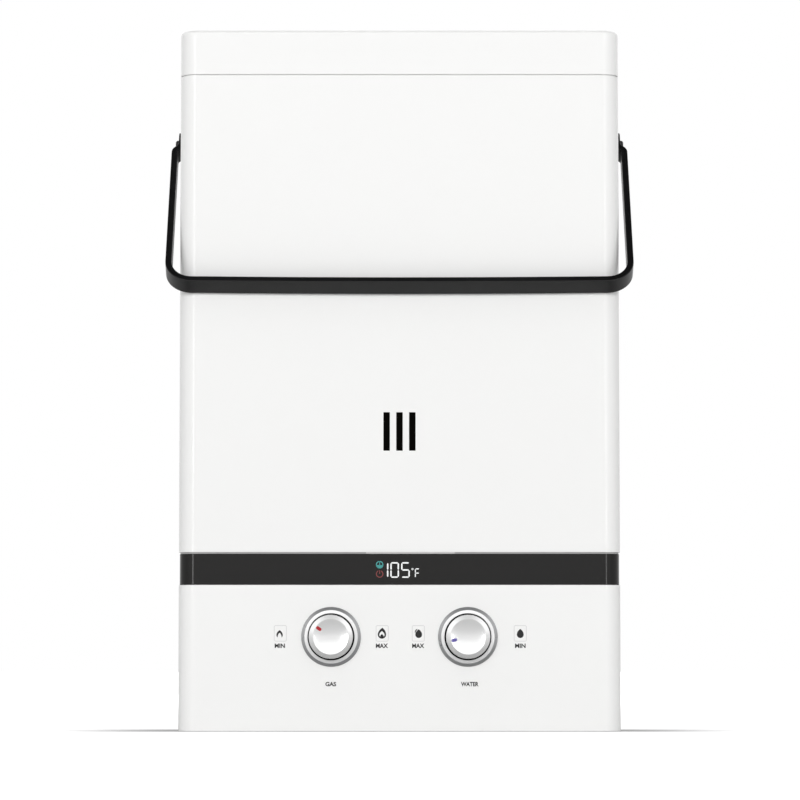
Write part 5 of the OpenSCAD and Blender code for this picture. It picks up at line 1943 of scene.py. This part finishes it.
def build_rear() -> None:
    """Builds the back panel, its screws, the hose fittings and the battery door."""
    BackPanel().build()
    PanScrews().build()
    cold = HoseFitting("cold_fitting", "cold_water_inlet")
    hot = HoseFitting("hot_fitting", "hot_water_outlet")
    gas = HoseFitting("gas_fitting", "gas_inlet", "gas_inlet_fitting", 7.94 * MM,
                      11.5 * MM, 5 * MM, 1.4 * MM)
    deliver(join("water_unions", [cold.build(), hot.build()]), Slot.BRASS,
            ["water_fittings"])
    deliver(gas.build(), Slot.BRASS, ["gas_inlet_fitting"])
    BatteryDoor().build()


# ---------------------------------------------------------------- studio


@dataclass
class Lamp:
    """A rectangular studio lamp that shines towards a target."""

    name: str
    place: tuple[float, float, float]
    target: tuple[float, float, float]
    size: tuple[float, float]
    power: float
    mirrored: bool = False

    def build(self) -> None:
        """Adds the lamp to the scene; only a mirrored one shows in reflections."""
        data = bpy.data.lights.new(self.name, "AREA")
        data.shape = "RECTANGLE"
        data.size, data.size_y = self.size
        data.energy = self.power
        lamp = bpy.data.objects.new(self.name, data)
        bpy.context.scene.collection.objects.link(lamp)
        lamp.location = self.place
        aim = Vector(self.target) - Vector(self.place)
        lamp.rotation_euler = aim.to_track_quat("-Z", "Y").to_euler()
        lamp.visible_glossy = self.mirrored


@dataclass
class Studio:
    """Pale floor, even studio light and the camera of the photograph."""

    focal_px: float = 3650.0
    image_px: float = 800.0
    sensor: float = 36.0
    distance: float = 2.834
    eye_z: float = 0.0489
    eye_x: float = 0.0004
    tilt: float = 4.2
    floor_size: float = 90.0
    floor_tone: float = 0.85
    floor_fade: float = 0.08
    floor_glow: float = 0.42
    glow_reach: tuple[float, float] = (0.6, 3.0)
    shade_reach: tuple[float, float] = (0.13, 0.03)
    shade_depth: float = 0.08
    shade_tone: float = 0.4
    ambient: float = 0.48
    room_level: float = 0.9
    room_peak: float = 1.35
    room_dark: float = 0.08
    low_band: tuple[float, float] = (0.05, 0.25)
    high_band: tuple[float, float] = (0.52, 0.95)
    side_band: tuple[float, float] = (0.3, 0.85)
    side_level: float = 0.7

    def lamps(self) -> list[Lamp]:
        """Lists the lamps: broad front, overhead and back lights, and two slim strips.

        Returns:
            The lamps.
        """
        return [
            Lamp("front_light", (-0.1, -5.5, 1.7), (0, 0, 0.3), (2.8, 1.8), 112),
            Lamp("overhead_light", (0, -0.2, 2.7), (0, 0, 0.3), (2.6, 2.2), 7),
            Lamp("back_light", (0.3, 3.4, 1.4), (0, 0, 0.3), (2.6, 2.0), 34),
            Lamp("left_strip", (-1.6, -3.4, 0.45), (0, 0, 0.3), (0.3, 2.2), 14, True),
            Lamp("right_strip", (1.75, -3.4, 0.45), (0, 0, 0.3), (0.28, 2.2), 10, True),
        ]

    def floor(self) -> None:
        """Builds the pale floor, which is white to the camera with a painted shadow round the case's foot, and
        darker in reflections, with painted shade growing towards the case.
        """
        clear_selection()
        bpy.ops.mesh.primitive_grid_add(x_subdivisions=4, y_subdivisions=4,
                                        size=self.floor_size)
        floor = bpy.context.object
        floor.name = "studio_floor"
        material = bpy.data.materials.new("floor_white")
        material.use_nodes = True
        tree = material.node_tree
        tree.nodes.remove(tree.nodes["Principled BSDF"])
        path = add_node(tree, "LightPath").outputs
        place = add_node(tree, "TexCoord").outputs["Object"]
        low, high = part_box("lower_shell")
        half_y = self.shade_depth / 2
        # Painted shadow: near the case's foot the floor's tone and glow are darkened for the camera, and its tone
        # in reflections falls towards black.
        shadow = add_node(tree, "Group", {
            "Place": place, "Middle": (0.0, low.y + half_y, 0.0), "Half": (high.x, half_y, 1.0),
            "Reach": (*self.shade_reach, 1.0), "Tone": self.shade_tone},
            node_tree=contact_group()).outputs
        seen = calc(tree, "MAXIMUM", path["Is Camera Ray"], path["Is Transmission Ray"])
        mirrored = calc(tree, "DIVIDE", shadow["Gap"],
                        calc(tree, "ADD", shadow["Gap"], self.floor_fade))
        kept = mixed(tree, seen, self.floor_tone, shadow["Shade"])
        tone = mixed(tree, path["Is Glossy Ray"], kept, mirrored)
        away = calc(tree, "LENGTH", place, vector=True)
        here = ranged(tree, away, *self.glow_reach, self.floor_glow, 1.0, smooth=True)
        strength = calc(tree, "MULTIPLY", seen, calc(tree, "MULTIPLY", here, shadow["Shade"]))
        matte = add_node(tree, "BsdfDiffuse", {"Color": tone})
        glow = add_node(tree, "Emission", {"Color": WHITE, "Strength": strength})
        both = add_node(tree, "AddShader", {"0": matte.outputs[0], "1": glow.outputs[0]})
        tree.links.new(both.outputs[0], tree.nodes["Material Output"].inputs["Surface"])
        floor.data.materials.append(material)

    def world(self) -> None:
        """Sets the room: even light, a white view, and a bright low band in reflections."""
        world = bpy.data.worlds.new("studio_room")
        bpy.context.scene.world = world
        world.use_nodes = True
        tree = world.node_tree
        path = add_node(tree, "LightPath").outputs
        way = add_node(tree, "SeparateXYZ", {
            "0": add_node(tree, "TexCoord").outputs["Generated"]}).outputs
        level = ranged(tree, way["Z"], *self.low_band, self.room_level, self.room_peak, True)
        rise = ranged(tree, way["Z"], *self.high_band, level, self.room_dark, True)
        facing = calc(tree, "ABSOLUTE", way["Y"])
        sides = ranged(tree, facing, *self.side_band, self.side_level, 1.0, True)
        mirror = calc(tree, "MULTIPLY", rise, sides)
        seen = calc(tree, "MAXIMUM", path["Is Camera Ray"], path["Is Transmission Ray"])
        plain = ranged(tree, seen, 0.0, 1.0, self.ambient, 1.0)
        strength = mixed(tree, path["Is Glossy Ray"], plain, mirror)
        background = tree.nodes["Background"]
        background.inputs["Color"].default_value = WHITE
        tree.links.new(strength, background.inputs["Strength"])

    def camera(self) -> None:
        """Places the photograph's camera."""
        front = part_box("front_shell")[0].y
        data = bpy.data.cameras.new("photo_camera")
        data.sensor_width = self.sensor
        data.lens = self.focal_px / self.image_px * self.sensor
        data.clip_end = 100
        camera = bpy.data.objects.new("photo_camera", data)
        bpy.context.scene.collection.objects.link(camera)
        camera.location = (self.eye_x, front - self.distance, self.eye_z)
        camera.rotation_euler = (math.radians(90 + self.tilt), 0, 0)
        bpy.context.scene.camera = camera

    def build(self) -> None:
        """Builds the floor, the room, the lamps and the camera."""
        self.floor()
        self.world()
        for lamp in self.lamps():
            lamp.build()
        self.camera()
        bpy.context.scene.view_settings.view_transform = "Standard"


# ---------------------------------------------------------------- assembly


def dress_nodes() -> None:
    """Gives every CAD node the finish of its slot in the record."""
    for entry in frame["record"]["subparts"]:
        node = frame["nodes"][entry["node"]]
        node.data.materials.clear()
        node.data.materials.append(MATERIALS[Slot(entry["material_slot"])])


def main() -> None:
    """Builds the looks of the whole heater and the studio round it."""
    logging.basicConfig(level=logging.INFO, format="%(message)s")
    dress_nodes()
    Casing().build()
    Handle().build()
    Knob("gas_knob_turn", Body.GAS_CONTROL, "gas_knob", "gas_bezel",
         Mark("gas_mark", print_finish("mark_red", shown(178, 34, 44)), 146)).build()
    Knob("water_knob_turn", Body.WATER_CONTROL, "water_knob", "water_bezel",
         Mark("water_mark", print_finish("mark_blue", shown(96, 88, 160)), 194)).build()
    PanelPrint().build()
    Display().build()
    build_rear()
    Studio().build()


if __name__ == "__main__":
    main()
